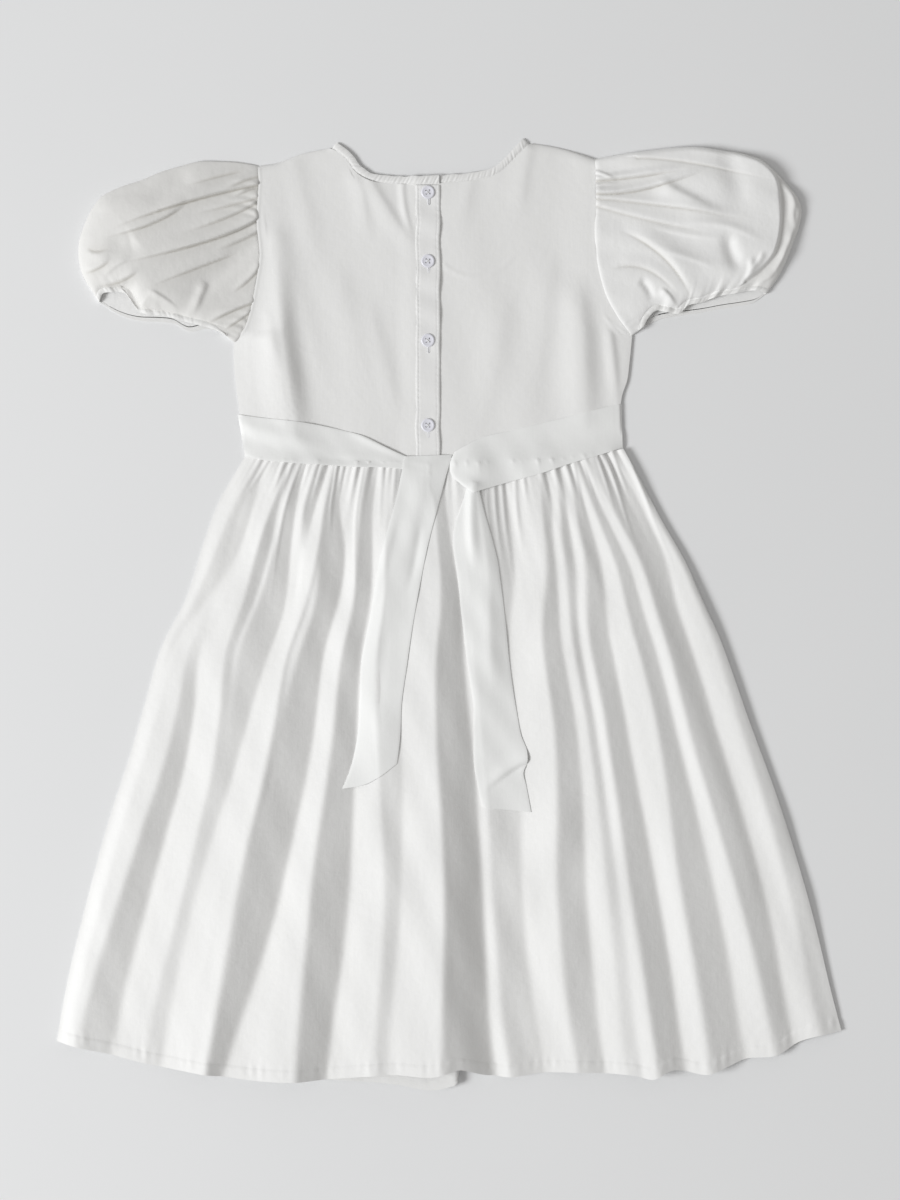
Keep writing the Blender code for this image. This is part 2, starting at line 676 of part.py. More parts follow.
def make_buttons(plastic):
    """Four buttons down the placket, each resting on it and drilled for its thread."""
    data = button_mesh(plastic)
    holes = thread_holes_mesh()
    rest = BACK_MIDDLE + GAP + PLACKET_LIFT + WALL / 2 + GAP
    for number, y in enumerate(BUTTON_HEIGHTS, 1):
        place = Vector((OPENING_X - PLACKET_WIDE / 2, y, rest)) * MM
        button = bpy.data.objects.new(f"button_{number}", data)
        cutter = bpy.data.objects.new(f"button_{number}_holes", holes)
        for piece in (button, cutter):
            piece.location = place
            bpy.context.scene.collection.objects.link(piece)
        cutter.hide_render = True
        cutter.display_type = "WIRE"
        drilled = button.modifiers.new("thread holes", "BOOLEAN")
        drilled.operation = "DIFFERENCE"
        drilled.object = cutter


# ---------------------------------------------------------------------------------------------------
# Puffed sleeves and their cuffs
# ---------------------------------------------------------------------------------------------------

SLEEVE_OUTER = {
    "left": [
        SHOULDER_TIP["left"],
        (-160.0, 325.6),
        (-180.0, 325.6),
        (-208.0, 317.0),
        (-237.0, 307.0),
        (-252.0, 298.5),
        (-262.5, 280.0),
        (-266.5, 259.0),
        (-263.5, 243.0),
        (-256.0, 231.5),
        (-251.5, 224.0),
    ],
    "right": [
        SHOULDER_TIP["right"],
        (123.0, 330.8),
        (166.3, 335.9),
        (195.1, 333.7),
        (213.1, 330.8),
        (231.1, 323.6),
        (244.0, 310.0),
        (253.0, 294.0),
        (252.0, 278.0),
        (243.0, 253.0),
        (227.5, 230.0),
    ],
}
CUFF_INNER_END = {"left": (-163.0, 203.0), "right": (140.0, 207.0)}
CUFF_UPPER = {
    "left": [
        (-251.5, 224.0),
        (-243.0, 232.0),
        (-231.0, 231.5),
        (-223.0, 222.5),
        (-213.0, 213.5),
        (-196.0, 211.5),
        (-180.0, 205.5),
        CUFF_INNER_END["left"],
    ],
    "right": [
        (227.5, 230.0),
        (220.0, 237.5),
        (198.7, 231.5),
        (186.0, 227.0),
        (172.0, 229.0),
        (157.0, 233.0),
        (145.0, 226.0),
        CUFF_INNER_END["right"],
    ],
}
CUFF_LOWER = {
    "left": [
        (-251.5, 224.0),
        (-242.5, 218.5),
        (-231.0, 213.5),
        (-215.0, 211.0),
        (-198.0, 210.5),
        (-186.0, 204.5),
        (-174.0, 206.5),
        CUFF_INNER_END["left"],
    ],
    "right": [
        (227.5, 230.0),
        (209.5, 222.5),
        (195.1, 220.0),
        (180.7, 217.1),
        (166.3, 215.2),
        (152.0, 212.5),
        CUFF_INNER_END["right"],
    ],
}
SLEEVE_DENSE = 65
SLEEVE_STATIONS = (0.0, 0.08, 0.25, 0.5, 0.75, 0.9, 1.0)  # shares of the way from armhole to cuff
SLEEVE_CROWN = (4.4, 13.0, 25.0, 30.0, 26.0, 17.0, 12.0)  # height of the middle of the upper layer
SLEEVE_OUTER_EDGE = {
    "left": (1.7, 4.0, 8.0, 9.0, 8.0, 5.5, 4.5),
    "right": (1.7, 4.0, 7.0, 6.5, 6.0, 5.0, 4.5),
}
SLEEVE_INNER_EDGE = (1.7, 2.2, 2.8, 3.2, 3.4, 3.4, 3.4)
CUFF_CROWN = 9.5
# The right sleeve's lower layer bulges out past its upper one, this share of the way across
SHELF_SHARE = {"left": 0.0, "right": 0.13}
SHELF_RISE = 0.16
SHELF_ROLL = 0.06
UNDER_ROLL = 0.12  # share of the way across in which the lower layer turns up into the upper one
SLEEVE_FOLDS = {
    "left": (
        Ridge((-147.0, 314.0), (-186.0, 302.0), (-241.0, 283.0), 8.0, 4.5, False),
        Ridge((-143.0, 290.0), (-186.0, 270.0), (-234.0, 258.0), 8.0, 3.5, False),
        Ridge((-142.0, 268.0), (-168.0, 240.0), (-190.0, 216.0), 8.0, -4.0, False),
    ),
    "right": (
        Ridge((112.0, 307.0), (152.0, 314.0), (210.0, 314.0), 7.0, 3.5, False),
        Ridge((110.0, 298.0), (166.0, 291.0), (213.0, 283.0), 6.0, -3.0, False),
        Ridge((137.0, 270.0), (160.0, 254.0), (175.0, 232.0), 7.0, 3.5, False),
    ),
}


def sleeve_patch(side, upper, across, share):
    """Points of one layer of a sleeve with its cuff, from armhole to wrist."""
    armhole = offset(outline(ARMHOLE[side]), -ARMHOLE_GAP if side == "left" else ARMHOLE_GAP)
    wrist = outline((CUFF_UPPER if upper else CUFF_LOWER)[side])
    outer = outline([armhole[0], *SLEEVE_OUTER[side][1:]])
    under = resample(np.array([armhole[-1], CUFF_INNER_END[side]]))
    return patch(outer, under, armhole, wrist, share, across)


def sleeve_layer(side, upper, across, steps, cuff):
    """One layer of a sleeve, or of its cuff, from its outer edge to its underarm seam."""
    dense = np.linspace(0, 1, SLEEVE_DENSE)
    grid = sleeve_patch(side, upper, *np.meshgrid(across, dense))
    steps_long = np.linalg.norm(np.diff(grid, axis=0), axis=-1)
    from_armhole = np.vstack([np.zeros(len(across)), steps_long.cumsum(axis=0)])
    reach = from_armhole[-1]
    cuff_start = reach - np.minimum(CUFF_WIDE, CUFF_MOST * reach)
    t = np.asarray(steps)[:, None]
    wanted = cuff_start + (reach - cuff_start) * t if cuff else (cuff_start - CUFF_GAP) * t
    pairs = zip(wanted.T, from_armhole.T)
    share = np.stack([np.interp(place, measured, dense) for place, measured in pairs], axis=-1)
    v = np.broadcast_to(across, share.shape)
    points = sleeve_patch(side, upper, v, share)
    at = np.ones_like(t) if cuff else t
    outer_edge = hermite(SLEEVE_STATIONS, SLEEVE_OUTER_EDGE[side], at)
    inner_edge = hermite(SLEEVE_STATIONS, SLEEVE_INNER_EDGE, at)
    if not upper:
        near_outer = (1 - rolled(v, UNDER_ROLL)) ** 2
        near_inner = (1 - rolled(1 - v, UNDER_ROLL)) ** 2
        z = FRONT_MIDDLE * (1 - near_outer - near_inner) + outer_edge * near_outer + inner_edge * near_inner
        return np.concatenate([points, z[..., None]], axis=-1)
    edge = outer_edge + (inner_edge - outer_edge) * v
    crown = hermite(SLEEVE_STATIONS, SLEEVE_CROWN, at)
    crown = crown + (CUFF_CROWN - crown) * t if cuff else crown
    shelf = SHELF_SHARE[side] * ease(2 * at - 0.4)
    past = np.clip((v - shelf) / (1 - shelf), 0, 1)
    dome = rolled(past, 0.45) * (1 - ease(2 * past - 1))
    if SHELF_SHARE[side] > 0:
        dome = np.maximum(dome, SHELF_RISE * rolled(v, SHELF_ROLL) * (1 - ease(2 * v - 1)))
    inside = np.minimum(rolled(v, 0.2), rolled(1 - v, 0.3)) * np.sin(np.pi * np.clip(at, 0, 1))
    z = edge + (crown - edge) * dome + ridge_height(points, SLEEVE_FOLDS[side]) * inside
    return np.concatenate([points, z[..., None]], axis=-1)


def make_sleeve(side, cloth):
    """A puffed sleeve, a flattened tube set into the armhole, and the narrow cuff that gathers it."""
    turn = np.linspace(0, np.pi, 14)
    over = (1 - np.cos(turn)) / 2
    turn_under = np.linspace(0, np.pi, 11)[1:-1]
    under = (1 + np.cos(turn_under)) / 2
    for name, steps, cuff in (
        ("sleeve_" + side, (0, 0.04, 0.1, 0.2, 0.35, 0.5, 0.65, 0.8, 0.9, 1.0), False),
        ("cuff_" + side, (0, 0.5, 1.0), True),
    ):
        upper = sleeve_layer(side, True, over, steps, cuff)
        lower = sleeve_layer(side, False, under, steps, cuff)
        wall(name, np.concatenate([upper, lower], axis=1), cloth, closed=True)


# ---------------------------------------------------------------------------------------------------
# Sash: two stretches from the side seams, half-knotted, and the two tails that hang from the knot
# ---------------------------------------------------------------------------------------------------

SASH_LEFT = {
    "top": [
        (-152.0, 143.8),
        (-121.7, 140.0),
        (-85.7, 134.3),
        (-56.9, 127.1),
        (-38.9, 118.4),
        (-12.0, 112.0),
    ],
    "bottom": [
        (-148.2, 113.4),
        (-121.7, 110.5),
        (-85.7, 106.9),
        (-56.9, 105.5),
        (-35.3, 104.0),
        (-12.0, 99.0),
    ],
}
SASH_RIGHT = {
    "top": [(4.3, 117.0), (22.3, 126.4), (43.9, 132.1), (79.9, 139.6), (108.7, 148.0), (125.6, 152.2)],
    "bottom": [(17.3, 87.5), (43.9, 95.4), (65.5, 101.2), (87.1, 108.4), (108.7, 114.8), (126.4, 119.9)],
    "curl": [(4.3, 117.0), (0.9, 109.8), (2.0, 100.8), (8.0, 94.0), (17.3, 87.5)],
}
TAIL_LEFT = {
    "left": [
        (-31.7, 114.8),
        (-38.2, 82.4),
        (-46.1, 53.6),
        (-56.9, -4.0),
        (-63.4, -40.0),
        (-66.2, -90.4),
        (-76.3, -124.9),
    ],
    "right": [(2.2, 114.8), (-8.6, 75.2), (-20.9, 21.2), (-26.6, -11.2), (-33.8, -61.6), (-37.4, -106.9)],
}
TAIL_RIGHT = {
    "left": [
        (14.4, 94.0),
        (7.9, 75.2),
        (3.0, 50.0),
        (9.4, -4.0),
        (17.0, -61.6),
        (18.7, -112.0),
        (23.8, -137.9),
    ],
    "right": [
        (21.0, 94.0),
        (31.0, 53.6),
        (40.3, -4.0),
        (49.0, -72.4),
        (56.2, -99.0),
        (53.3, -115.6),
        (59.0, -143.5),
    ],
}


def sash_stretch(stretch, columns, rows):
    """Plan points of a stretch across the waist, in rows from its top edge to its lower one."""
    top, bottom = outline(stretch["top"]), outline(stretch["bottom"])
    start = outline(stretch["curl"]) if "curl" in stretch else resample(np.array([top[0], bottom[0]]))
    end = resample(np.array([top[-1], bottom[-1]]))
    across, down = np.meshgrid(columns, rows)
    return patch(top, bottom, start, end, across, down)


def sash_tail(tail, columns, rows):
    """Plan points of a tail, in rows from the knot to its cut end."""
    left, right = outline(tail["left"]), outline(tail["right"])
    top = resample(np.array([left[0], right[0]]))
    bottom = resample(np.array([left[-1], right[-1]]))
    across, down = np.meshgrid(columns, rows)
    return patch(top, bottom, left, right, across, down)


def make_sash(cloth, below):
    """The sash lies on the back and on itself, in the order in which it was tied."""
    ends = np.concatenate([[0, 0.015, 0.035], np.linspace(0.07, 1, 15)])
    edges = np.linspace(0, 1, 4)
    left = wall("sash_left", resting(sash_stretch(SASH_LEFT, ends, edges), below), cloth)
    down = np.linspace(0, 1, 21)
    tail_points = resting(sash_tail(TAIL_RIGHT, edges, down), below)
    tail_right = wall("sash_tail_right", tail_points, cloth)
    over = [*below, left, tail_right]
    right = wall("sash_right", resting(sash_stretch(SASH_RIGHT, 1 - ends[::-1], edges), over), cloth)
    over.append(right)
    wall("sash_tail_left", resting(sash_tail(TAIL_LEFT, edges, down), over), cloth)


def main():
    """Build the dress, piece by piece."""
    for old in list(bpy.data.objects):
        bpy.data.objects.remove(old)
    skirt_front, skirt_back = make_skirt(solid_material("skirt_cloth", (0.86, 0.86, 0.85), 0.75))
    bodice_cloth = solid_material("bodice_cloth", (0.86, 0.86, 0.85), 0.75)
    backs = make_bodice(bodice_cloth)
    placket = make_placket(solid_material("placket_cloth", (0.86, 0.86, 0.86), 0.75))
    make_neck_binding(solid_material("binding_cloth", (0.85, 0.85, 0.84), 0.8))
    make_buttons(solid_material("button_plastic", (0.80, 0.80, 0.86), 0.35))
    sleeve_cloth = solid_material("sleeve_cloth", (0.86, 0.86, 0.85), 0.75)
    for side in ("left", "right"):
        make_sleeve(side, sleeve_cloth)
    sash_cloth = solid_material("sash_cloth", (0.85, 0.86, 0.85), 0.7)
    make_sash(sash_cloth, [skirt_back, skirt_front, *backs, placket])


main()
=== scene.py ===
"""The cloth, stitching and buttons of a toddler's white dress that lies flat on a table with its back up.

Places and sizes are in millimetres, from the middle of the dress on the table, and a mesh is scaled to
metres when it is made. The neck points to +Y and the hem to -Y.
"""

from collections import namedtuple

import bmesh
import bpy
import numpy as np
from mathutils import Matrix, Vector
from mathutils.bvhtree import BVHTree


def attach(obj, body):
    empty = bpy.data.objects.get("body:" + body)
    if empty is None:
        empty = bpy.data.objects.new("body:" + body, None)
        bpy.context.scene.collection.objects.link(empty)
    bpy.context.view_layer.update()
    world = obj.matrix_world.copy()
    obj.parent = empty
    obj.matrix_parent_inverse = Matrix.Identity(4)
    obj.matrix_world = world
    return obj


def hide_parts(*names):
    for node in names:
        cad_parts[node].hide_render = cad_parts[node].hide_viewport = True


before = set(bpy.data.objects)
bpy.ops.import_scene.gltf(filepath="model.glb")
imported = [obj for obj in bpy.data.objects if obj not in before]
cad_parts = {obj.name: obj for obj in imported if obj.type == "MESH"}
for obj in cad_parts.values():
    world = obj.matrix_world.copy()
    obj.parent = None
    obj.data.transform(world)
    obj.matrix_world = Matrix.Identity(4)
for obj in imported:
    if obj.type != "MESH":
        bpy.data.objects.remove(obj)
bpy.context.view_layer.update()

MM = 0.001

# ---------------------------------------------------------------------------------------------------
# Skirt front: the lower of the two gathered skirt panels, cut from light woven cotton and viscose. It is
# sewn to the back along the sides and lies on the table, so its folds are pressed low. Its hem shows
# below the back's for a short way.
# ---------------------------------------------------------------------------------------------------


def hermite(stations, values, at):
    """A smooth curve through the values at the stations."""
    stations = np.asarray(stations, float)
    values = np.asarray(values, float)
    at = np.asarray(at, float)
    slopes = np.gradient(values, stations, axis=0)
    i = np.clip(np.searchsorted(stations, at, side="right") - 1, 0, len(stations) - 2)
    span = stations[i + 1] - stations[i]
    s = (at - stations[i]) / span
    if values.ndim > 1:
        s = s[..., None]
        span = span[..., None]
    rise = s * s * (3 - 2 * s)
    start = s * (1 - s) ** 2 * span
    end = s * s * (s - 1) * span
    return values[i] * (1 - rise) + values[i + 1] * rise + slopes[i] * start + slopes[i + 1] * end


def resample(path, count=801):
    """The same path with its points evenly spaced."""
    length = np.concatenate([[0], np.cumsum(np.hypot(*np.diff(path, axis=0).T))])
    even = np.linspace(0, length[-1], count)
    return np.stack([np.interp(even, length, path[:, k]) for k in (0, 1)], axis=-1)


def outline(*runs):
    """A dense path through runs of points, smooth in a run, with corners between runs."""
    dense = []
    for run in runs:
        points = np.asarray(run, float)
        chord = np.concatenate([[0], np.cumsum(np.hypot(*np.diff(points, axis=0).T))])
        dense.append(hermite(chord, points, np.linspace(0, chord[-1], 24 * len(points))))
    return resample(np.concatenate(dense))


def along(path, t):
    """The point at share t of a path's length."""
    place = np.clip(t, 0, 1) * (len(path) - 1)
    return np.stack([np.interp(place, np.arange(len(path)), path[:, k]) for k in (0, 1)], axis=-1)


def patch(top, bottom, left, right, across, down):
    """Points of the sheet that fills four paths."""
    u = np.asarray(across, float)
    v = np.asarray(down, float)
    corner = [along(path, end) for path in (top, bottom) for end in (0.0, 1.0)]
    share_u = u[..., None]
    share_v = v[..., None]
    rows = (1 - share_v) * along(top, u) + share_v * along(bottom, u)
    columns = (1 - share_u) * along(left, v) + share_u * along(right, v)
    upper = (1 - share_u) * corner[0] + share_u * corner[1]
    lower = (1 - share_u) * corner[2] + share_u * corner[3]
    return rows + columns - (1 - share_v) * upper - share_v * lower


def ease(t):
    """From 0 to 1 with no kink at either end."""
    t = np.clip(t, 0, 1)
    return t * t * (3 - 2 * t)


def bump(distance, half_width):
    """A soft ridge, 1 on its line."""
    return np.exp(-((distance / half_width) ** 2))


def rolled(distance, reach):
    """The quarter-round by which an edge rises, from 0 at the edge to 1 at the reach."""
    return np.sqrt(1 - (1 - np.clip(distance / reach, 0, 1)) ** 2)


def lifted(distance, reach):
    """How an edge rises from a pressed fold, from 0 at the edge to 1 at the reach."""
    return 1 - (1 - np.clip(distance / reach, 0, 1)) ** 2


def ripple(place, wavelength, seed, waves=7):
    """Uneven small waves along one direction, between about -1 and 1, the same each time."""
    random = np.random.default_rng(seed)
    total = np.zeros(np.shape(place))
    for _ in range(waves):
        size = wavelength * random.uniform(0.65, 1.6)
        total = total + np.sin(2 * np.pi * (np.asarray(place) / size + random.uniform()))
    return total / waves**0.5 / 1.2


class Value:
    """A shader node's output that takes part in plain sums."""

    def __init__(self, finish, socket):
        self.finish = finish
        self.socket = socket

    def _maths(self, operation, first, second):
        return self.finish.node("ShaderNodeMath", {"operation": operation}, {0: first, 1: second})["Value"]

    def __add__(self, other):
        return self._maths("ADD", self, other)

    def __sub__(self, other):
        return self._maths("SUBTRACT", self, other)

    def __rsub__(self, other):
        return self._maths("SUBTRACT", other, self)

    def __mul__(self, other):
        return self._maths("MULTIPLY", self, other)

    __radd__ = __add__
    __rmul__ = __mul__


class Finish:
    """A material and the nodes that make its surface."""

    def __init__(self, name, **shader):
        self.material = bpy.data.materials.new(name)
        self.material.use_nodes = True
        self.tree = self.material.node_tree
        self.shader = self.tree.nodes["Principled BSDF"]
        for socket, value in shader.items():
            self.feed_shader(socket.replace("_", " "), value)

    def feed(self, socket, value):
        """Link a socket, or set it."""
        if isinstance(value, Value):
            self.tree.links.new(value.socket, socket)
        else:
            socket.default_value = value

    def feed_shader(self, name, value):
        """Link or set one of the surface's own sockets."""
        self.feed(self.shader.inputs[name], value)

    def node(self, kind, settings=None, sockets=None):
        """A new node's outputs by name, once its settings and then its sockets are filled in."""
        made = self.tree.nodes.new(kind)
        for name, value in (settings or {}).items():
            if name == "stops":
                for stop, (place, colour) in zip(made.color_ramp.elements, value):
                    stop.position = place
                    stop.color = colour
            else:
                setattr(made, name, value)
        for name, value in (sockets or {}).items():
            if isinstance(name, int):
                self.feed(made.inputs[name], value)
            else:
                self.feed(next(s for s in made.inputs if s.enabled and s.name == name), value)
        return {output.name: Value(self, output) for output in made.outputs if output.enabled}

    def noise(self, place, scale, detail):
        """Soft cloudy variation."""
        sizes = {"Vector": place, "Scale": scale, "Detail": detail}
        return self.node("ShaderNodeTexNoise", {}, sizes)["Fac"]

    def mix(self, factor, first, second):
        """From one colour to another."""
        colours = {"Factor": factor, "A": (*first, 1.0), "B": (*second, 1.0)}
        return self.node("ShaderNodeMix", {"data_type": "RGBA"}, colours)["Result"]

    def bump(self, height, strength, distance, **more):
        """A normal that stands for small relief."""
        sizes = {"Strength": strength, "Distance": distance, "Height": height, **more}
        return self.node("ShaderNodeBump", {}, sizes)["Normal"]


THREAD_PITCH = 0.62  # from one thread of the weave to the next but one
CLOTH_THICK = 0.55
TABLE_GAP = 0.02


def woven(name, colour, shade, roughness=0.62, sheen=0.35, crumple=1.0):
    """Plain-woven cloth: crossing threads, uneven yarn, small crumples, and a painted warm shade in its
    hollows and creases, where shadow falls.
    """
    finish = Finish(name, Sheen_Weight=sheen, Sheen_Roughness=0.4, Specular_IOR_Level=0.3)
    place = finish.node("ShaderNodeTexCoord")["Object"]
    threads = []
    for direction in ("X", "Y"):
        bands = {"wave_type": "BANDS", "bands_direction": direction, "wave_profile": "SIN"}
        sizes = {"Vector": place, "Scale": 2 * np.pi / 20 / (THREAD_PITCH * MM), "Distortion": 0.8}
        threads.append(finish.node("ShaderNodeTexWave", bands, sizes)["Fac"])
    yarn = finish.noise(place, 900.0, 2.0)
    soft = finish.noise(place, 150.0, 3.0)
    stretched = finish.node("ShaderNodeMapping", {}, {"Vector": place, "Scale": (1.0, 0.05, 1.0)})["Vector"]
    slub = finish.noise(stretched, 700.0, 2.0)
    fine = finish.bump(threads[0] * threads[1] + yarn * 0.9 + slub * 1.1, 0.16, 0.0003)
    finish.feed_shader("Normal", finish.bump(soft, 0.25 * crumple, 0.0012, Normal=fine))
    # Painted shade: the colour goes towards the warm shade colour by each point's stored amount
    painted_shade = finish.node("ShaderNodeAttribute", {"attribute_name": "painted_shade"})["Fac"]
    finish.feed_shader("Base Color", finish.mix(painted_shade + yarn * 0.016, colour, shade))
    finish.feed_shader("Roughness", yarn * 0.16 + (roughness - 0.08))
    return finish


def smooth_mesh(name, corners, faces, finish):
    """A smooth-shaded mesh of corners in millimetres."""
    data = bpy.data.meshes.new(name)
    data.from_pydata((np.reshape(corners, (-1, 3)) * MM).tolist(), [], faces)
    data.materials.append(finish.material)
    data.shade_smooth()
    return data


def placed(name, data, place=(0, 0, 0), turn=0.0):
    """An object in the scene that rides on the dress's one body."""
    made = bpy.data.objects.new(name, data)
    made.location = Vector(place) * MM
    made.rotation_euler = (0, 0, turn)
    bpy.context.scene.collection.objects.link(made)
    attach(made, "root")
    return made


def shell(name, middle, thick, finish, node, closed=False, painted_shade=None):
    """A thin cloth shell about a grid of middle points, which stands for a node of the frame."""
    middle[..., 2] = np.maximum(middle[..., 2], thick / 2 + TABLE_GAP)
    rows, columns = middle.shape[:2]
    number = np.arange(rows * columns).reshape(rows, columns)
    left = number if closed else number[:, :-1]
    right = np.roll(number, -1, axis=1) if closed else number[:, 1:]
    faces = np.stack([left[:-1], left[1:], right[1:], right[:-1]], axis=-1).reshape(-1, 4)
    data = smooth_mesh(name, middle, faces.tolist(), finish)
    sides = np.sort(np.stack([faces, np.roll(faces, -1, axis=1)], axis=-1).reshape(-1, 2), axis=-1)
    keys, uses = np.unique(sides @ (rows * columns, 1), return_counts=True)
    ends = np.zeros((len(data.edges), 2), int)
    data.edges.foreach_get("vertices", ends.ravel())
    cut = np.isin(np.sort(ends, axis=-1) @ (rows * columns, 1), keys[uses == 1])
    data.set_sharp_from_angle(angle=1.0)
    cut |= np.array([edge.use_edge_sharp for edge in data.edges])
    for edge in np.flatnonzero(cut):
        data.edges[edge].use_edge_sharp = True
    # Painted shade per point, which darkens the cloth's colour where shadow falls
    depth = np.zeros(rows * columns) if painted_shade is None else np.clip(painted_shade, 0, 1).ravel()
    data.attributes.new("painted_shade", "FLOAT", "POINT").data.foreach_set("value", depth)
    made = placed(name, data)
    body = made.modifiers.new("thickness", "SOLIDIFY")
    body.thickness = thick * MM
    body.offset = 0
    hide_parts(node)
    return made


SHOULDER_TIP = {"left": (-137.5, 322.2), "right": (105.8, 327.2)}
NECK_POINT = {"left": (-80.6, 339.5), "right": (53.3, 342.4)}
UNDERARM = {"left": (-154.8, 196.2), "right": (131.8, 201.0)}
SIDE_WAIST = {"left": (-146.9, 113.4), "right": (125.3, 119.0)}
HEM_CORNER = {"left": (-282.2, -307.1), "right": (282.2, -299.2)}
WAIST = [
    SIDE_WAIST["left"], (-92.9, 110.5), (-35.3, 109.8), (36.7, 110.5), (87.1, 113.4), SIDE_WAIST["right"],
]
SKIRT_SIDE = {
    "left": [
        SIDE_WAIST["left"], (-153.0, 103.0), (-164.9, 82.4), (-175.7, 53.6), (-190.8, 7.6),
        (-204.5, -18.4), (-220.0, -68.8), (-230.4, -104.8), (-241.9, -139.3), (-262.1, -212.8),
        (-274.3, -263.2), HEM_CORNER["left"],
    ],
    "right": [
        SIDE_WAIST["right"], (136.8, 98.0), (152.6, 68.0), (169.2, 39.2), (182.2, 10.4), (195.1, -18.4),
        (205.6, -47.2), (214.2, -72.0), (236.2, -132.1), (261.4, -215.6), (276.5, -277.6),
        HEM_CORNER["right"],
    ],
}
HEM = [
    HEM_CORNER["left"], (-248.0, -315.0), (-215.0, -322.9), (-179.0, -328.6), (-136.0, -333.7),
    (-93.0, -334.4), (-39.0, -337.6), (-10.0, -341.6), (8.0, -337.0), (26.0, -331.0), (42.0, -332.2),
    (66.0, -329.4), (109.0, -329.4), (134.0, -330.8), (146.0, -333.0), (158.0, -327.4), (188.0, -329.4),
    (199.0, -325.0), (213.0, -319.4), (235.0, -316.5), (253.0, -306.5), HEM_CORNER["right"],
]
SKIRT_LONG = 443.0
HEM_STEP = 11.5  # how much lower the front's hem hangs where it shows
# Shares of the width at which the back's hem starts to rise, is up, and is down again
HEM_STEP_FROM, HEM_STEP_MIDDLE, HEM_STEP_TO = 0.30, 0.50, 0.548
FRONT_HEM_TO = 0.512  # where the front's hem goes back under
HEM_DEEP = 8.2  # from the edge to the stitching
HEM_TURNED = 0.35  # how much thicker the turned-up hem is
STITCH_GROOVE = 0.16
PUCKER_HIGH = 0.17
PUCKER_LONG = 8.5
FRONT_LEVEL = 0.45
FRONT_LEAST = 0.3
FRONT_INSET = 3.0  # how far inside the back's hem the front's stays where it does not show
FRONT_LIFT = 1.0  # how much its hem stands up where it shows, and how much more at that stretch's end
FRONT_LIFT_MORE = 4.5
WHITE = (0.875, 0.872, 0.862)
# The colour of the painted shade in the cloth's hollows and creases, where shadow falls
PAINTED_WARM_SHADE = (0.52, 0.50, 0.455)

skirt_sides = [outline(WAIST), outline(HEM), outline(SKIRT_SIDE["left"]), outline(SKIRT_SIDE["right"])]
FrontFold = namedtuple("FrontFold", "waist hem height_waist height_hem half_width")
FRONT_FOLDS = (
    FrontFold(0.10, 0.09, 0.5, 1.0, 0.016),
    FrontFold(0.20, 0.17, 0.6, 0.5, 0.012),
    FrontFold(0.30, 0.27, 0.5, 1.2, 0.018),
    FrontFold(0.41, 0.37, 0.4, 0.7, 0.014),
    FrontFold(0.52, 0.52, 0.6, 1.3, 0.017),
    FrontFold(0.62, 0.61, 0.5, 0.6, 0.012),
    FrontFold(0.72, 0.71, 0.6, 1.1, 0.016),
    FrontFold(0.81, 0.83, 0.5, 0.8, 0.013),
    FrontFold(0.91, 0.93, 0.4, 1.0, 0.015),
)


def front_relief(across, down):
    """Height of the front's folds above the table."""
    total = np.zeros(np.broadcast(across, down).shape)
    for fold in FRONT_FOLDS:
        place = fold.waist + (fold.hem - fold.waist) * down
        height = fold.height_waist + (fold.height_hem - fold.height_waist) * down
        total = total + height * bump(across - place, fold.half_width)
    return total


def hem_step(across):
    """1 where the back's hem is drawn up above the front's, and 0 where it hangs lowest."""
    rising = ease((across - HEM_STEP_FROM) / (HEM_STEP_MIDDLE - HEM_STEP_FROM))
    return rising * ease((HEM_STEP_TO - across) / 0.045)


def hem_relief(across_mm, from_edge, seed):
    """The turned-up hem: thicker below its stitching, which pulls the cloth into small puckers."""
    turned = HEM_TURNED * ease((HEM_DEEP - from_edge) / 0.8 + 0.5)
    groove = -STITCH_GROOVE * bump(from_edge - HEM_DEEP, 0.9)
    puckers = PUCKER_HIGH * ripple(across_mm, PUCKER_LONG, seed) * bump(from_edge - HEM_DEEP + 1.5, 4.5)
    return turned + groove + puckers


def skirt_front_middle(columns, rows):
    """The front's middle surface, just inside the side seams, and the shade under the back's hem."""
    down, across = np.meshgrid(rows, np.linspace(0.0015, 0.9985, columns), indexing="ij")
    shown = ease((across - HEM_STEP_FROM) / 0.05) * ease((FRONT_HEM_TO - across) / 0.008)
    reach = 1 - (1 - shown) * (FRONT_INSET + HEM_STEP * hem_step(across)) / SKIRT_LONG
    points = patch(*skirt_sides, across, down * reach)
    z = FRONT_LEVEL + front_relief(across, down)
    z = z + 0.5 * ripple(across, 0.03, 5) * bump(down, 0.2)
    z = z + hem_relief(points[..., 0], (1 - down) * SKIRT_LONG, 11) * 0.6
    lift = FRONT_LIFT + FRONT_LIFT_MORE * np.clip((across - HEM_STEP_FROM - 0.03) / 0.18, 0, 1)
    z = z + lift * shown * ease((down - 0.9) / 0.1)
    # Painted shade: a narrow darker band on the front just below the back's hem edge, where its shadow
    # falls
    below = SKIRT_LONG * (down * reach - 1) + HEM_STEP * hem_step(across)
    shade = 0.4 * bump(below - 0.2, 1.0) * shown
    return np.concatenate([points, np.maximum(z, FRONT_LEAST)[..., None]], axis=-1), shade


skirt_cloth = woven("skirt_cloth", WHITE, PAINTED_WARM_SHADE)
hem_rows = 1 - np.array([24, 18, 13, 10.5, 9, 8.2, 7.4, 6, 4, 2, 0]) / SKIRT_LONG
front_rows = np.concatenate([np.linspace(0, hem_rows[0], 50, endpoint=False), hem_rows])
front_middle, front_shade = skirt_front_middle(260, front_rows)
skirt_front = shell(
    "skirt_front_cloth",
    front_middle,
    CLOTH_THICK,
    skirt_cloth,
    "skirt_front",
    painted_shade=front_shade,
)

# ---------------------------------------------------------------------------------------------------
# Skirt back: the upper skirt panel, of the same cloth, gathered into the waist seam and turned up in a
# narrow stitched hem. The gathers run down into wide soft folds that stand up off the front.
# ---------------------------------------------------------------------------------------------------

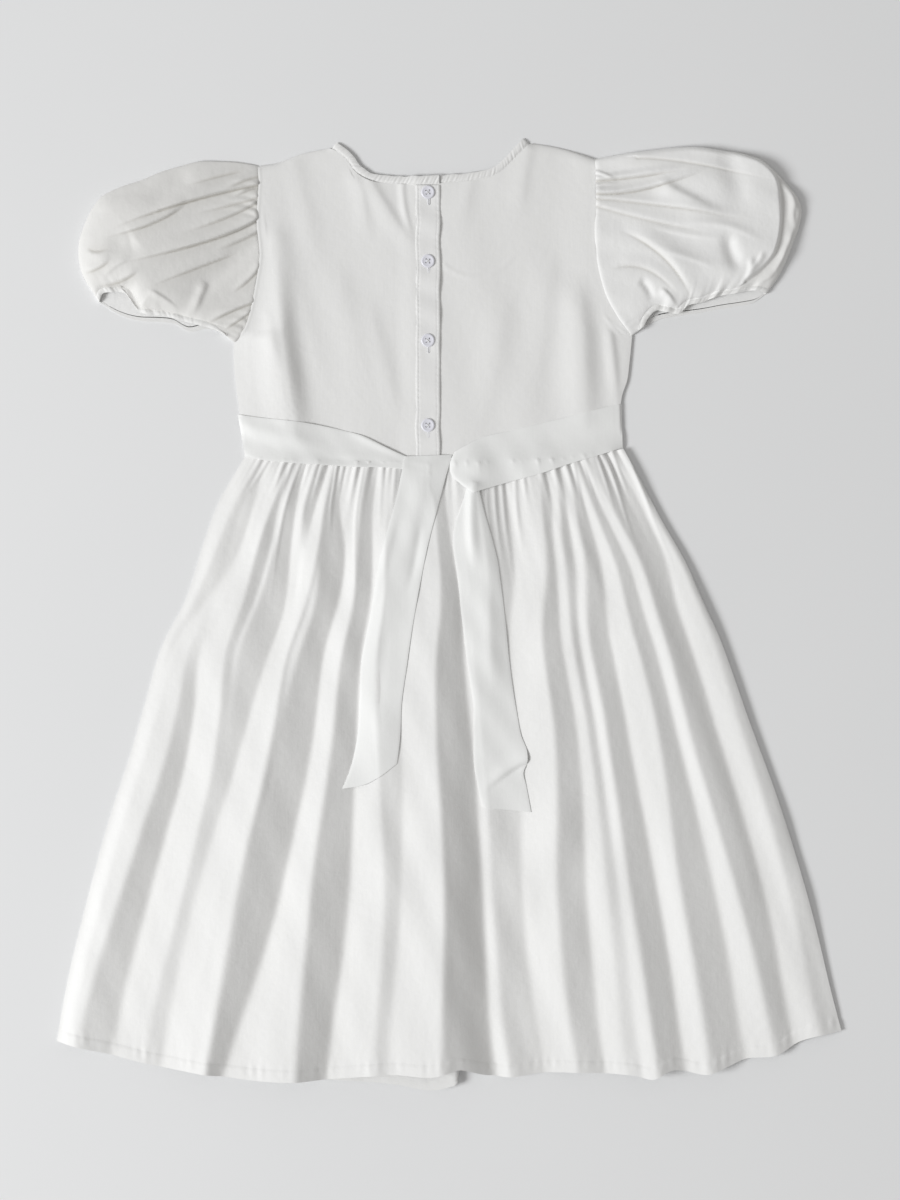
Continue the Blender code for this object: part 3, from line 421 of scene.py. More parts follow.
BACK_LEVEL = 2.0
FRONT_FELT = 0.4  # how much of the front's folds the back takes on
WANDER = 0.0018  # how far the folds sway, as a share of the width
UNDULATION = 0.6
EDGE_REST = 0.75
ROLL = 12.0
SEAM_ROLL = 4.0
SEAM_DROP = 0.2  # the right side lies folded on its seam, and drops from there to the table
Fold = namedtuple("Fold", "across height")
FOLD_STATIONS = (0.0, 0.07, 0.15, 0.28, 0.45, 0.7, 1.0)  # shares of the way from waist to hem
# Crests and the hollows between them, from the left edge to the right one. Across is the share of the
# panel's width at each station, and height is above the panel's own rest.
BACK_FOLDS = (
    Fold((0.000, 0.000, 0.000, 0.000, 0.000, 0.000, 0.000), (0.0, 0.0, 0.0, 0.0, 0.0, 0.0, 0.0)),
    Fold((0.040, 0.036, 0.030, 0.010, 0.008, 0.006, 0.005), (1.6, 2.0, 2.2, 1.0, 1.2, 1.6, 1.4)),
    Fold((0.056, 0.078, 0.080, 0.030, 0.022, 0.016, 0.012), (0.6, 0.6, 0.7, 0.6, 2.4, 3.2, 3.0)),
    Fold((0.070, 0.090, 0.090, 0.055, 0.057, 0.046, 0.028), (1.1, 1.6, 1.8, 3.0, 4.8, 6.5, 5.0)),
    Fold((0.080, 0.100, 0.100, 0.070, 0.085, 0.084, 0.072), (1.4, 2.5, 3.0, 4.2, 1.2, 0.4, 0.3)),
    Fold((0.120, 0.124, 0.117, 0.113, 0.128, 0.130, 0.112), (2.6, 4.7, 5.8, 7.8, 7.6, 6.8, 3.6)),
    Fold((0.128, 0.139, 0.144, 0.130, 0.140, 0.138, 0.120), (1.8, 3.2, 3.0, 6.2, 6.8, 6.4, 3.2)),
    Fold((0.135, 0.155, 0.154, 0.138, 0.148, 0.145, 0.126), (2.4, 4.0, 3.9, 6.6, 6.4, 6.2, 3.0)),
    Fold((0.165, 0.178, 0.188, 0.194, 0.172, 0.150, 0.132), (0.8, 1.6, 0.8, 1.6, 4.8, 6.0, 2.6)),
    Fold((0.190, 0.197, 0.208, 0.208, 0.196, 0.178, 0.160), (2.4, 4.0, 3.4, 3.8, 8.2, 9.2, 6.8)),
    Fold((0.228, 0.226, 0.220, 0.218, 0.207, 0.192, 0.176), (0.9, 1.2, 5.0, 5.4, 9.8, 11.0, 9.0)),
    Fold((0.236, 0.244, 0.246, 0.226, 0.218, 0.206, 0.190), (1.6, 3.7, 8.2, 6.9, 11.5, 13.0, 11.5)),
    Fold((0.242, 0.250, 0.250, 0.230, 0.222, 0.210, 0.193), (1.4, 3.0, 7.6, 6.1, 11.0, 12.5, 11.0)),
    Fold((0.248, 0.256, 0.254, 0.246, 0.230, 0.216, 0.196), (1.2, 2.5, 7.1, 7.1, 9.9, 11.6, 10.0)),
    Fold((0.270, 0.278, 0.302, 0.288, 0.286, 0.264, 0.212), (0.5, 0.4, 1.4, 1.5, 2.5, 3.6, 5.4)),
    Fold((0.322, 0.328, 0.328, 0.320, 0.318, 0.305, 0.304), (2.4, 3.6, 4.8, 6.7, 7.5, 10.5, 13.5)),
    Fold((0.352, 0.357, 0.361, 0.355, 0.357, 0.358, 0.342), (0.8, 0.8, 1.2, 2.2, 2.0, 2.0, 3.8)),
    Fold((0.392, 0.392, 0.388, 0.383, 0.390, 0.407, 0.402), (1.8, 3.0, 4.6, 6.4, 7.0, 8.5, 10.0)),
    Fold((0.405, 0.424, 0.420, 0.408, 0.428, 0.430, 0.420), (1.2, 1.8, 2.9, 4.0, 5.4, 7.0, 9.0)),
    Fold((0.470, 0.500, 0.502, 0.494, 0.488, 0.492, 0.490), (2.0, 4.0, 6.0, 9.0, 11.0, 13.5, 15.5)),
    Fold((0.520, 0.528, 0.532, 0.540, 0.546, 0.547, 0.556), (0.5, 1.5, 2.5, 1.6, 1.0, 0.6, 0.6)),
    Fold((0.545, 0.550, 0.552, 0.558, 0.562, 0.562, 0.575), (1.5, 2.5, 3.5, 2.8, 2.2, 2.5, 3.5)),
    Fold((0.600, 0.606, 0.604, 0.592, 0.590, 0.585, 0.597), (3.5, 5.0, 5.4, 3.6, 1.2, 1.0, 1.4)),
    Fold((0.675, 0.674, 0.664, 0.630, 0.622, 0.606, 0.618), (0.8, 0.5, 0.8, 0.8, 0.5, 0.0, 0.0)),
    Fold((0.770, 0.754, 0.734, 0.690, 0.680, 0.655, 0.656), (3.6, 5.0, 6.4, 7.0, 7.5, 7.0, 4.8)),
    Fold((0.788, 0.777, 0.752, 0.723, 0.717, 0.697, 0.690), (2.0, 2.6, 4.4, 3.0, 2.4, 1.8, 1.3)),
    Fold((0.805, 0.796, 0.771, 0.743, 0.735, 0.726, 0.718), (3.2, 4.6, 6.0, 5.4, 4.4, 5.8, 5.2)),
    Fold((0.822, 0.811, 0.792, 0.757, 0.749, 0.742, 0.736), (1.8, 3.0, 3.6, 3.8, 3.0, 5.4, 6.0)),
    Fold((0.845, 0.830, 0.813, 0.774, 0.766, 0.758, 0.757), (3.0, 4.8, 5.8, 6.0, 6.0, 7.4, 9.6)),
    Fold((0.856, 0.852, 0.843, 0.812, 0.802, 0.798, 0.793), (2.0, 3.2, 2.8, 1.8, 1.5, 1.3, 2.6)),
    Fold((0.866, 0.867, 0.867, 0.853, 0.851, 0.830, 0.826), (2.8, 4.6, 5.4, 6.8, 7.0, 6.8, 6.8)),
    Fold((0.880, 0.885, 0.890, 0.883, 0.882, 0.877, 0.872), (1.6, 2.6, 3.1, 3.3, 3.2, 1.6, 0.3)),
    Fold((0.900, 0.905, 0.913, 0.906, 0.902, 0.904, 0.912), (2.8, 4.2, 5.4, 6.2, 6.2, 6.4, 4.2)),
    Fold((0.955, 0.972, 0.970, 0.948, 0.947, 0.943, 0.938), (0.6, 0.5, 0.5, 0.8, 0.3, 0.2, 0.2)),
    Fold((0.988, 0.992, 0.990, 0.988, 0.986, 0.976, 0.974), (1.6, 2.0, 2.4, 4.0, 3.6, 3.8, 2.8)),
    Fold((1.000, 1.000, 1.000, 1.000, 1.000, 1.000, 1.000), (1.4, 1.8, 2.0, 3.2, 2.6, 1.6, 0.4)),
)
# Single gathers that fade out below the waist: where they start and end, and half their width
Gather = namedtuple("Gather", "waist end reach height wide")
GATHERS = (
    Gather(0.018, 0.012, 0.08, 0.6, 1.6),
    Gather(0.066, 0.048, 0.10, 0.7, 1.6),
    Gather(0.104, 0.118, 0.07, 0.7, 1.4),
    Gather(0.128, 0.141, 0.08, 0.8, 1.4),
    Gather(0.150, 0.165, 0.30, 0.6, 1.3),
    Gather(0.173, 0.181, 0.07, 0.8, 1.4),
    Gather(0.206, 0.214, 0.08, 0.8, 1.4),
    Gather(0.246, 0.272, 0.15, 0.8, 1.0),
    Gather(0.262, 0.276, 0.09, 0.6, 1.2),
    Gather(0.296, 0.306, 0.11, 0.9, 1.8),
    Gather(0.316, 0.332, 0.32, 0.6, 1.2),
    Gather(0.368, 0.379, 0.14, 0.9, 1.7),
    Gather(0.398, 0.406, 0.12, 0.6, 1.5),
    Gather(0.634, 0.616, 0.16, 0.7, 1.4),
    Gather(0.652, 0.628, 0.22, 0.9, 1.4),
    Gather(0.672, 0.640, 0.26, 0.9, 1.5),
    Gather(0.706, 0.674, 0.19, 1.2, 1.8),
    Gather(0.730, 0.712, 0.10, 0.8, 1.6),
    Gather(0.862, 0.838, 0.11, 0.7, 1.3),
    Gather(0.884, 0.878, 0.09, 0.8, 1.3),
    Gather(0.928, 0.906, 0.12, 0.9, 1.3),
    Gather(0.950, 0.914, 0.19, 1.1, 1.4),
    Gather(0.968, 0.950, 0.11, 0.8, 1.3),
    Gather(1.004, 0.966, 0.24, 1.0, 1.4),
)
CREST_ROUND = 1.0  # half-width of the rounding of crests and hollows
WAIST_WIDE = 272.0
FINE_STEPS = 1601
HOLLOW_REACH = 60  # fine steps on either side of a place that tell whether it lies in a hollow
HOLLOW_DEEP = 45.0  # a hollow this deep would have the full shade


def back_folds_at(down, width):
    """Height of the folds along one row: flat-sided, with crests and hollows a little rounded."""
    lines = np.array([hermite(FOLD_STATIONS, fold.across, down) for fold in BACK_FOLDS])
    sway = np.sin(11.0 * down + 0.35 * np.arange(1, len(lines) - 1))
    lines[1:-1] += WANDER * sway * ease(down / 0.3)
    heights = np.array([hermite(FOLD_STATIONS, fold.height, down) for fold in BACK_FOLDS])
    fine = np.linspace(0, 1, FINE_STEPS)
    flat_sided = np.interp(fine, lines, heights)
    step = width / (FINE_STEPS - 1)
    soft = CREST_ROUND * (0.8 + 1.2 * down)
    reach = int(4 * soft / step)
    kernel = bump(np.arange(-reach, reach + 1) * step, soft * 1.4)
    padded = np.pad(flat_sided, reach, mode="edge")
    relief = np.convolve(padded, kernel / kernel.sum(), mode="valid")
    for gather in GATHERS:
        share = down / gather.reach
        if share < 1:
            place = gather.waist + (gather.end - gather.waist) * share
            relief = relief + gather.height * (1 - ease(share)) * bump((fine - place) * width, gather.wide)
    relief = relief * (1.1 + 0.15 * ease((down - 0.45) / 0.4))
    relief = relief + 0.75 * ripple(fine * WAIST_WIDE, 5.5, 21) * np.exp(-down / 0.035)
    relief = relief + 0.25 * ripple(fine * WAIST_WIDE, 10.0, 22) * np.exp(-down / 0.13)
    return fine, relief


def skirt_back_middle(columns, rows):
    """The back's middle surface, and the painted shade in the hollows of its folds."""
    middle = []
    hollows = []
    across = np.append(np.linspace(0, 0.9994, columns - 1), 1.0)
    for down in rows:
        reach = 1 - hem_step(across) * HEM_STEP / SKIRT_LONG
        points = patch(*skirt_sides, across, np.full(columns, down) * reach)
        width = np.hypot(*(points[-1] - points[0]))
        fine, fine_relief = back_folds_at(down, width)
        relief = np.interp(across, fine, fine_relief)
        from_seam = (1 - across) * width
        rise = lifted(across * width, ROLL) * (1 - SEAM_DROP * (1 - rolled(from_seam, SEAM_ROLL)))
        rise = rise * (across < 1)
        z = BACK_LEVEL + FRONT_FELT * front_relief(across, down) + relief
        z = EDGE_REST + (z - EDGE_REST) * rise
        z = z + 0.25 * ripple(points[:, 0] + 0.4 * points[:, 1], 34.0, 8) * rise
        waves = ripple(points[:, 0], 48.0, 81) * ripple(points[:, 1], 75.0, 82)
        z = z + UNDULATION * waves * rise * ease(down / 0.3)
        z = z + hem_relief(points[:, 0], (1 - down) * SKIRT_LONG, 12) * rise
        middle.append(np.concatenate([points, z[:, None]], axis=-1))
        # Painted shade: darker where the folds lie below the average height around them
        padded = np.pad(fine_relief, HOLLOW_REACH, mode="edge")
        evened = np.convolve(padded, np.ones(2 * HOLLOW_REACH + 1) / (2 * HOLLOW_REACH + 1), "valid")
        hollows.append((np.interp(across, fine, evened) - relief) / HOLLOW_DEEP)
    return np.array(middle), np.array(hollows)


waist_rows = np.linspace(0, 0.12, 22, endpoint=False)
back_rows = np.concatenate([waist_rows, np.linspace(0.12, hem_rows[0], 72, endpoint=False), hem_rows])
back_middle, back_painted_shade = skirt_back_middle(430, back_rows)
skirt_back = shell(
    "skirt_back_cloth",
    back_middle,
    CLOTH_THICK,
    skirt_cloth,
    "skirt_back",
    painted_shade=back_painted_shade,
)


THREAD_SIDES = 6


def tube_faces(base, rings):
    """The faces of a closed tube of thread whose rings start at a corner number."""
    faces = []
    for ring in range(rings - 1):
        for j in range(THREAD_SIDES):
            a = base + THREAD_SIDES * ring + j
            b = base + THREAD_SIDES * ring + (j + 1) % THREAD_SIDES
            faces.append((a, b, b + THREAD_SIDES, a + THREAD_SIDES))
    faces.append(tuple(base + j for j in range(THREAD_SIDES - 1, -1, -1)))
    faces.append(tuple(base + THREAD_SIDES * (rings - 1) + j for j in range(THREAD_SIDES)))
    return faces


def stitches(name, path, long, gap, wide=0.24, lift=0.2):
    """A row of sewn stitches along a path on the cloth, as one mesh of small spindles."""
    path = np.asarray(path, float)
    length = np.concatenate([[0], np.cumsum(np.linalg.norm(np.diff(path, axis=0), axis=1))])
    middles = np.arange(gap, length[-1] - gap, long + gap)
    at = np.stack([np.interp(middles, length, path[:, k]) for k in range(3)], axis=-1)
    ahead = np.stack([np.interp(middles + 0.5, length, path[:, k]) for k in range(3)], axis=-1)
    way = ahead - at
    way = way / np.linalg.norm(way, axis=1, keepdims=True)
    aside = np.cross(way, (0, 0, 1.0))
    up = np.cross(aside, way)
    turns = np.linspace(0, 2 * np.pi, THREAD_SIDES, endpoint=False)
    spindle = ((-0.5, 0.35), (-0.25, 1.0), (0.25, 1.0), (0.5, 0.35))
    corners = []
    faces = []
    for centre, w, s, u in zip(at + lift * up, way, aside, up):
        faces += tube_faces(len(corners), len(spindle))
        for end, fat in spindle:
            drop = -0.25 * lift * (abs(end) > 0.4)
            for turn in turns:
                ring = fat * wide / 2 * (np.cos(turn) * s + np.sin(turn) * u)
                corners.append(centre + end * long * w + ring + drop * u)
    placed(name, smooth_mesh(name, corners, faces, white_thread))


def thread_finish(name, colour):
    """Spun sewing thread."""
    finish = Finish(name, Sheen_Weight=0.3, Specular_IOR_Level=0.35)
    place = finish.node("ShaderNodeTexCoord")["Object"]
    twist = finish.noise(place, 2500.0, 2.0)
    finish.feed_shader("Normal", finish.bump(twist, 0.4, 0.0001))
    darker = tuple(0.93 * part for part in colour)
    finish.feed_shader("Base Color", finish.mix(twist, darker, colour))
    finish.feed_shader("Roughness", twist * 0.2 + 0.5)
    return finish


white_thread = thread_finish("white_thread", (0.87, 0.868, 0.86))
hem_line = len(back_rows) - 6
stitches("hem_stitches", back_middle[hem_line, 3:-3], 2.4, 0.9, lift=0.22)

# ---------------------------------------------------------------------------------------------------
# Bodice front: one panel with a deep round neck. It lies on the table under the back, and shows only
# through the neck opening.
# ---------------------------------------------------------------------------------------------------

BINDING_WIDE = 6.0
NECK_LAP = 0.5
ARMHOLE = {
    "left": [
        SHOULDER_TIP["left"], (-136.8, 311.4), (-137.5, 298.4), (-138.2, 280.4), (-136.6, 266.0),
        (-136.1, 256.7), (-137.5, 246.0), (-139.0, 237.2), (-142.6, 219.2), (-147.6, 204.8),
        UNDERARM["left"],
    ],
    "right": [
        SHOULDER_TIP["right"], (106.4, 298.4), (105.8, 269.6), (107.5, 253.0), (110.2, 240.8),
        (114.5, 227.9), (121.7, 214.8), UNDERARM["right"],
    ],
}
BODICE_SIDE = {
    "left": [UNDERARM["left"], (-154.8, 183.2), (-153.4, 165.2), (-151.9, 154.4), SIDE_WAIST["left"]],
    "right": [UNDERARM["right"], (129.6, 179.6), (128.2, 168.8), (124.6, 158.0), SIDE_WAIST["right"]],
}
SHOULDER = {
    "left": [SHOULDER_TIP["left"], (-121.7, 325.1), (-107.3, 330.8), NECK_POINT["left"]],
    "right": [NECK_POINT["right"], (69.1, 337.3), (90.7, 332.3), SHOULDER_TIP["right"]],
}
FRONT_NECK = [
    (NECK_POINT["left"][0] + 3.2, NECK_POINT["left"][1] - 4.2), (-72.0, 308.0), (-57.0, 276.0),
    (-30.0, 255.0), (-12.0, 250.5), (8.0, 254.0), (32.0, 274.0), (45.0, 306.0),
    (NECK_POINT["right"][0] - 3.2, NECK_POINT["right"][1] - 4.2),
]
Crease = namedtuple("Crease", "start middle end height left_wide right_wide from_seam", defaults=(False,))


def beside(points, path):
    """Each point's distance from a path, on which side of it that is, and the nearest share of the path."""
    flat = points.reshape(-1, 2)
    nearest = []
    for part in np.array_split(flat, 40):
        nearest.append(((part[:, None, :] - path) ** 2).sum(axis=-1).argmin(axis=-1))
    nearest = np.concatenate(nearest)
    way = np.gradient(path, axis=0)[nearest]
    way = way / np.linalg.norm(way, axis=-1, keepdims=True)
    away = flat - path[nearest]
    side = way[:, 0] * away[:, 1] - way[:, 1] * away[:, 0]
    ahead = (way * away).sum(axis=-1)
    last = len(path) - 1
    past_end = ((nearest == 0) & (ahead < 0)) | ((nearest == last) & (ahead > 0))
    distance = np.where(past_end, np.hypot(side, ahead), np.abs(side))
    shape = points.shape[:-1]
    return distance.reshape(shape), np.sign(side).reshape(shape), (nearest / last).reshape(shape)


def creased(points, creases):
    """Height of the listed folds, and the painted shade along a sharp one: on its steep side and in the
    slit at its foot, where shadow falls.

    Each fold runs on a bent line, with its own width on either side of it. Where one side is much the
    steeper, the cloth is tucked in along its foot.
    """
    total = np.zeros(points.shape[:-1])
    slit = np.zeros(points.shape[:-1])
    t = np.linspace(0, 1, 80)[:, None]
    for crease in creases:
        start, middle, end = (np.array(place, float) for place in crease[:3])
        line = start * (1 - t) ** 2 + end * t * t + 2 * t * (1 - t) * (2 * middle - (start + end) / 2)
        narrow, wide = sorted((crease.left_wide, crease.right_wide))
        reach = 3.2 * wide + 2
        near = np.all((points > line.min(axis=0) - reach) & (points < line.max(axis=0) + reach), axis=-1)
        distance, side, share = beside(points[near], line)
        half = np.where(side > 0, crease.left_wide, crease.right_wide)
        strength = ease((1 - share) / 0.45) * (1.0 if crease.from_seam else ease(share / 0.3))
        total[near] += crease.height * strength * bump(distance, half)
        if wide > 2.4 * narrow and crease.height > 0:
            tucked = strength * bump(distance - 1.5 * narrow, 0.75) * (half == narrow)
            total[near] -= 0.4 * crease.height**0.5 * tucked
            # Painted shade: a soft darker band on the steep side of a sharp fold, and more in the slit at
            # its foot
            shaded = 0.13 * strength * bump(distance - 2.0, 5.0) * (half == narrow)
            slit[near] = np.maximum(slit[near], shaded + tucked * min(0.6, 0.22 + 0.13 * crease.height))
    return total, slit


def offset(path, distance):
    """The path moved to its left by a distance."""
    step = np.gradient(path, axis=0)
    normal = np.stack([-step[:, 1], step[:, 0]], axis=-1)
    return path + distance * normal / np.linalg.norm(normal, axis=-1, keepdims=True)


def part_of(path, low, high):
    """The stretch of a path between two values of x, evenly spaced again."""
    inside = path[(path[:, 0] > low) & (path[:, 0] < high)]
    ends = [[x, np.interp(x, path[:, 0], path[:, 1])] for x in (low, high)]
    return resample(np.vstack([ends[0], inside, ends[1]]))


def length_of(path):
    """A path's length."""
    return np.hypot(*np.diff(np.asarray(path, float), axis=0).T).sum()


def bodice_front_middle():
    """The front's middle surface, almost flat on the table."""
    sides = {}
    for side, inward in (("left", 1), ("right", -1)):
        path = outline(ARMHOLE[side], BODICE_SIDE[side])
        path[:, 0] += inward * 0.5
        share = np.linspace(0, 1, len(path))
        path[:, 1] -= 2.0 * ease((0.05 - share) / 0.05)
        sides[side] = resample(path)
    neck = offset(outline(FRONT_NECK), NECK_LAP - BINDING_WIDE)
    neck = resample(neck[neck[:, 1] < 333.0])[::40]
    left_shoulder = [sides["left"][0], np.array(SHOULDER["left"][2]) - [0, 2.5], neck[0]]
    right_shoulder = [neck[-1], np.array(SHOULDER["right"][2]) - [0, 2.5], sides["right"][0]]
    top = outline(left_shoulder, neck, right_shoulder)
    foot = part_of(outline(WAIST), sides["left"][-1, 0], sides["right"][-1, 0])
    across, down = np.meshgrid(np.linspace(0, 1, 100), np.linspace(0, 1, 66))
    points = patch(top, foot, sides["left"], sides["right"], across, down)
    z = FRONT_LEVEL + 0.25 * (1 + ripple(points[..., 0] - 0.3 * points[..., 1], 60.0, 3))
    return np.concatenate([points, z[..., None]], axis=-1)


bodice_cloth = woven("bodice_cloth", WHITE, PAINTED_WARM_SHADE, crumple=0.8)
bodice_front = shell(
    "bodice_front_cloth", bodice_front_middle(), CLOTH_THICK, bodice_cloth, "bodice_front"
)

# ---------------------------------------------------------------------------------------------------
# Bodice back: two halves of the same cloth, sewn to the front at the shoulders and sides, and eased
# over it. The armhole seams stand up as narrow piped edges, and the side seams roll down to the table.
# ---------------------------------------------------------------------------------------------------

OPENING_X = -6.8
PLACKET_WIDE = 16.8
BACK_NECK = {
    "left": [
        NECK_POINT["left"], (-69.8, 330.8), (-62.6, 321.5), (-54.0, 316.8), (-46.1, 315.7),
        (-35.3, 315.0), (OPENING_X - 0.3, 315.6),
    ],
    "right": [
        (OPENING_X + 0.3, 315.6), (4.3, 316.4), (22.3, 318.6), (33.1, 322.2), (42.5, 330.8),
        NECK_POINT["right"],
    ],
}
SHOULDER_MEETS_NECK = {"left": -86.0, "right": 58.5}
ARMHOLE_LEVEL = 3.7
ARMHOLE_REACH = 32.0
PIPING_HIGH = 0.3
SHOULDER_ROLL = 6.0
LAP_RISE = 0.9  # the left half rises to its placket
BODICE_CREASES = {
    "left": (
        Crease((-130, 268), (-119, 190), (-105, 92), 6.4, 9.5, 19.0, True),
        Crease((-135, 298), (-106, 219), (-86, 135), 1.0, 9.0, 12.0, True),
        Crease((-86, 262), (-70, 205), (-52, 135), 0.9, 9.0, 12.0),
        Crease((-63, 236), (-47, 180), (-32, 118), 1.0, 7.0, 10.0),
        Crease((-112, 322), (-104, 290), (-92, 240), 0.8, 8.0, 10.0, True),
        Crease((-67, 312), (-62, 295), (-58, 262), 0.8, 4.0, 7.0, True),
        Crease((-56, 310), (-40, 284), (-22, 258), 1.3, 4.0, 8.0, True),
        Crease((-33, 314), (-32, 293), (-24, 262), 0.9, 2.0, 3.0, True),
        Crease((-135, 230), (-128, 200), (-122, 170), 0.9, 4.0, 6.0),
    ),
    "right": (
        Crease((92, 250), (96, 190), (98, 100), 3.6, 9.0, 14.0),
        Crease((57, 334), (53, 312), (50, 280), 0.8, 5.0, 8.0, True),
        Crease((-3, 251), (14, 243), (34, 246), 0.35, 1.1, 1.4, True),
        Crease((24, 243), (38, 250), (54, 266), 0.3, 1.1, 1.4),
        Crease((15, 316), (13, 300), (6, 270), 0.6, 5.0, 7.0, True),
        Crease((40, 240), (32, 183), (16, 118), 0.9, 9.0, 12.0),
        Crease((72, 270), (66, 200), (54, 120), 0.9, 8.0, 12.0),
        Crease((113, 216), (118, 183), (121, 140), 1.4, 3.0, 5.0),
        Crease((112, 214), (121, 207), (130, 201), 0.7, 1.0, 1.5, True),
        Crease((111, 219), (117, 208), (127, 198), 0.6, 1.0, 1.5, True),
    ),
}


def bodice_back_middle(side):
    """The middle surface of one back half, from its armhole to the centre back, and the painted shade in
    its creases and troughs.
    """
    left = side == "left"
    lap = OPENING_X - PLACKET_WIDE
    outer = outline(ARMHOLE[side], BODICE_SIDE[side])
    neck = offset(outline(BACK_NECK[side]), NECK_LAP - BINDING_WIDE)
    waist = outline(WAIST)
    if left:
        neck = part_of(neck, SHOULDER_MEETS_NECK["left"], lap)
        foot = part_of(waist, waist[0, 0], lap)
    else:
        neck = part_of(neck, lap, SHOULDER_MEETS_NECK["right"])
        foot = part_of(waist, lap, waist[-1, 0])
    shoulder = np.array(SHOULDER[side], float)
    shoulder[-1 if left else 0] = neck[0] if left else neck[-1]
    thinned = neck[::40]
    top = outline(shoulder, thinned) if left else outline(thinned, shoulder)
    inner = resample(np.array([neck[-1] if left else neck[0], foot[-1] if left else foot[0]]))
    sides = (outer, inner) if left else (inner, outer)
    columns = np.linspace(0, 1, 140)
    if not left:
        columns[-2] = 0.9985
    across, down = np.meshgrid(columns, ease(np.linspace(0, 1, 150)) * 0.5 + np.linspace(0, 0.5, 150))
    points = patch(top, foot, *sides, across, down)
    from_outer = across if left else 1 - across
    width = np.linalg.norm(points[:, -1] - points[:, 0], axis=-1)[:, None]
    fall = np.linalg.norm(points[-1] - points[0], axis=-1)[None, :]
    edge = from_outer * width
    folds, slit = creased(points, BODICE_CREASES[side])
    relief = folds + 0.3 * ripple(points[..., 0] + 0.35 * points[..., 1], 40.0, 4)
    full = BACK_LEVEL + relief
    armhole_share = length_of(ARMHOLE[side]) / length_of(outer)
    in_armhole = 1 - ease((down - armhole_share + 0.05) / 0.05)
    rise = lifted(edge, ROLL) if left else (1 - SEAM_DROP * (1 - rolled(edge, SEAM_ROLL))) * (edge > 0)
    seam = EDGE_REST + (full - EDGE_REST) * rise
    piping = PIPING_HIGH * bump(edge - 0.9, 0.9)
    armhole = ARMHOLE_LEVEL + (full - ARMHOLE_LEVEL) * ease(edge / ARMHOLE_REACH) + piping
    level = seam + (armhole - seam) * in_armhole
    over_shoulder = ease((length_of(shoulder) / length_of(top) - from_outer) / 0.04 + 0.5)
    drop = EDGE_REST + (level - EDGE_REST) * rolled(down * fall, SHOULDER_ROLL)
    z = level + (drop - level) * over_shoulder
    if left:
        z = z + LAP_RISE * ease(1 - (lap - points[..., 0]) / 15.0)
    # Painted shade: the crease slits' shade, less on raised folds and more where the cloth sinks
    return np.concatenate([points, z[..., None]], axis=-1), slit * 0.4 - relief / 80


for side in ("left", "right"):
    back_half, half_painted_shade = bodice_back_middle(side)
    made = shell(
        f"bodice_back_{side}_cloth",
        back_half,
        CLOTH_THICK,
        bodice_cloth,
        "bodice_back_" + side,
        painted_shade=half_painted_shade,
    )

# ---------------------------------------------------------------------------------------------------
# Placket: the left half's edge, turned back on itself and stitched down both sides. It laps over the
# right half, and carries the buttonholes, which are worked in satin stitch.
# ---------------------------------------------------------------------------------------------------

PLACKET_LEVEL = 3.3
PLACKET_THICK = 0.9
PLACKET_TOP = 308.6
PLACKET_FOOT = 110.1
BUTTON_HEIGHTS = (303.5, 254.0, 197.0, 136.0)
BUTTONHOLE_LONG = 12.5
FOLD_DROP = 0.4  # how much the placket's two edges drop
SEAM_EDGE_DROP = 0.25
BUTTON_DENT = 0.5

placket_x, placket_y = np.meshgrid(
    np.linspace(OPENING_X - PLACKET_WIDE, OPENING_X, 35), np.linspace(PLACKET_TOP, PLACKET_FOOT, 280)
)
from_fold = OPENING_X - placket_x
from_seam = placket_x - (OPENING_X - PLACKET_WIDE)
placket_z = PLACKET_LEVEL - FOLD_DROP * (1 - rolled(from_fold, 1.2))
placket_z = placket_z - SEAM_EDGE_DROP * (1 - rolled(from_seam, 1.0))
for distance, seed in ((from_fold, 31), (from_seam, 32)):
    placket_z = placket_z - 0.14 * bump(distance - 1.9, 0.6)
    placket_z = placket_z + 0.1 * ripple(placket_y, 3.6, seed) * bump(distance - 1.2, 1.6)
placket_z = placket_z + 0.28 * ripple(placket_y + 0.4 * placket_x, 26.0, 33)
for height in BUTTON_HEIGHTS:
    away = np.hypot((placket_x - OPENING_X + PLACKET_WIDE / 2) / 5.0, (placket_y - height + 2.0) / 9.0)
    placket_z = placket_z - BUTTON_DENT * bump(away, 1.0)
placket_x = placket_x + 0.25 * ripple(placket_y, 30.0, 34)
placket_points = np.stack([placket_x, placket_y, placket_z], axis=-1)
placket_cloth = woven("placket_cloth", (0.885, 0.882, 0.874), PAINTED_WARM_SHADE, crumple=0.5)
placket = shell(
    "back_placket_cloth", placket_points, PLACKET_THICK, placket_cloth, "back_placket"
)
for name, column in (("fold", -4), ("seam", 3)):
    line = placket_points[3:-3, column] + [0, 0, 0.22]
    stitches(f"placket_{name}_stitches", line, 2.0, 0.7)


def buttonhole_mesh(material):
    """A worked buttonhole: a long ring of satin stitch with a slit in it."""
    mesh = bmesh.new()
    turns = np.linspace(0, 2 * np.pi, 96, endpoint=False)
    rings = []
    for aside, up in ((1.0, 0.0), (0.75, 0.26), (0.42, 0.26), (0.12, 0.08)):
        ring = []
        for j, turn in enumerate(turns):
            stitch = 0.06 * (j % 2) * (up > 0)
            x = np.cos(turn) * aside
            y = np.sin(turn) * aside + np.sign(np.sin(turn)) * (BUTTONHOLE_LONG / 2 - 1.0)
            ring.append(mesh.verts.new((x * MM, y * MM, (up + stitch) * MM)))
        rings.append(ring)
    for outer, inner in zip(rings, rings[1:]):
        for j in range(len(turns)):
            k = (j + 1) % len(turns)
            mesh.faces.new((outer[j], outer[k], inner[k], inner[j]))
    data = bpy.data.meshes.new("buttonhole")
    mesh.to_mesh(data)
    mesh.free()
    data.materials.append(material)
    data.shade_smooth()
    return data


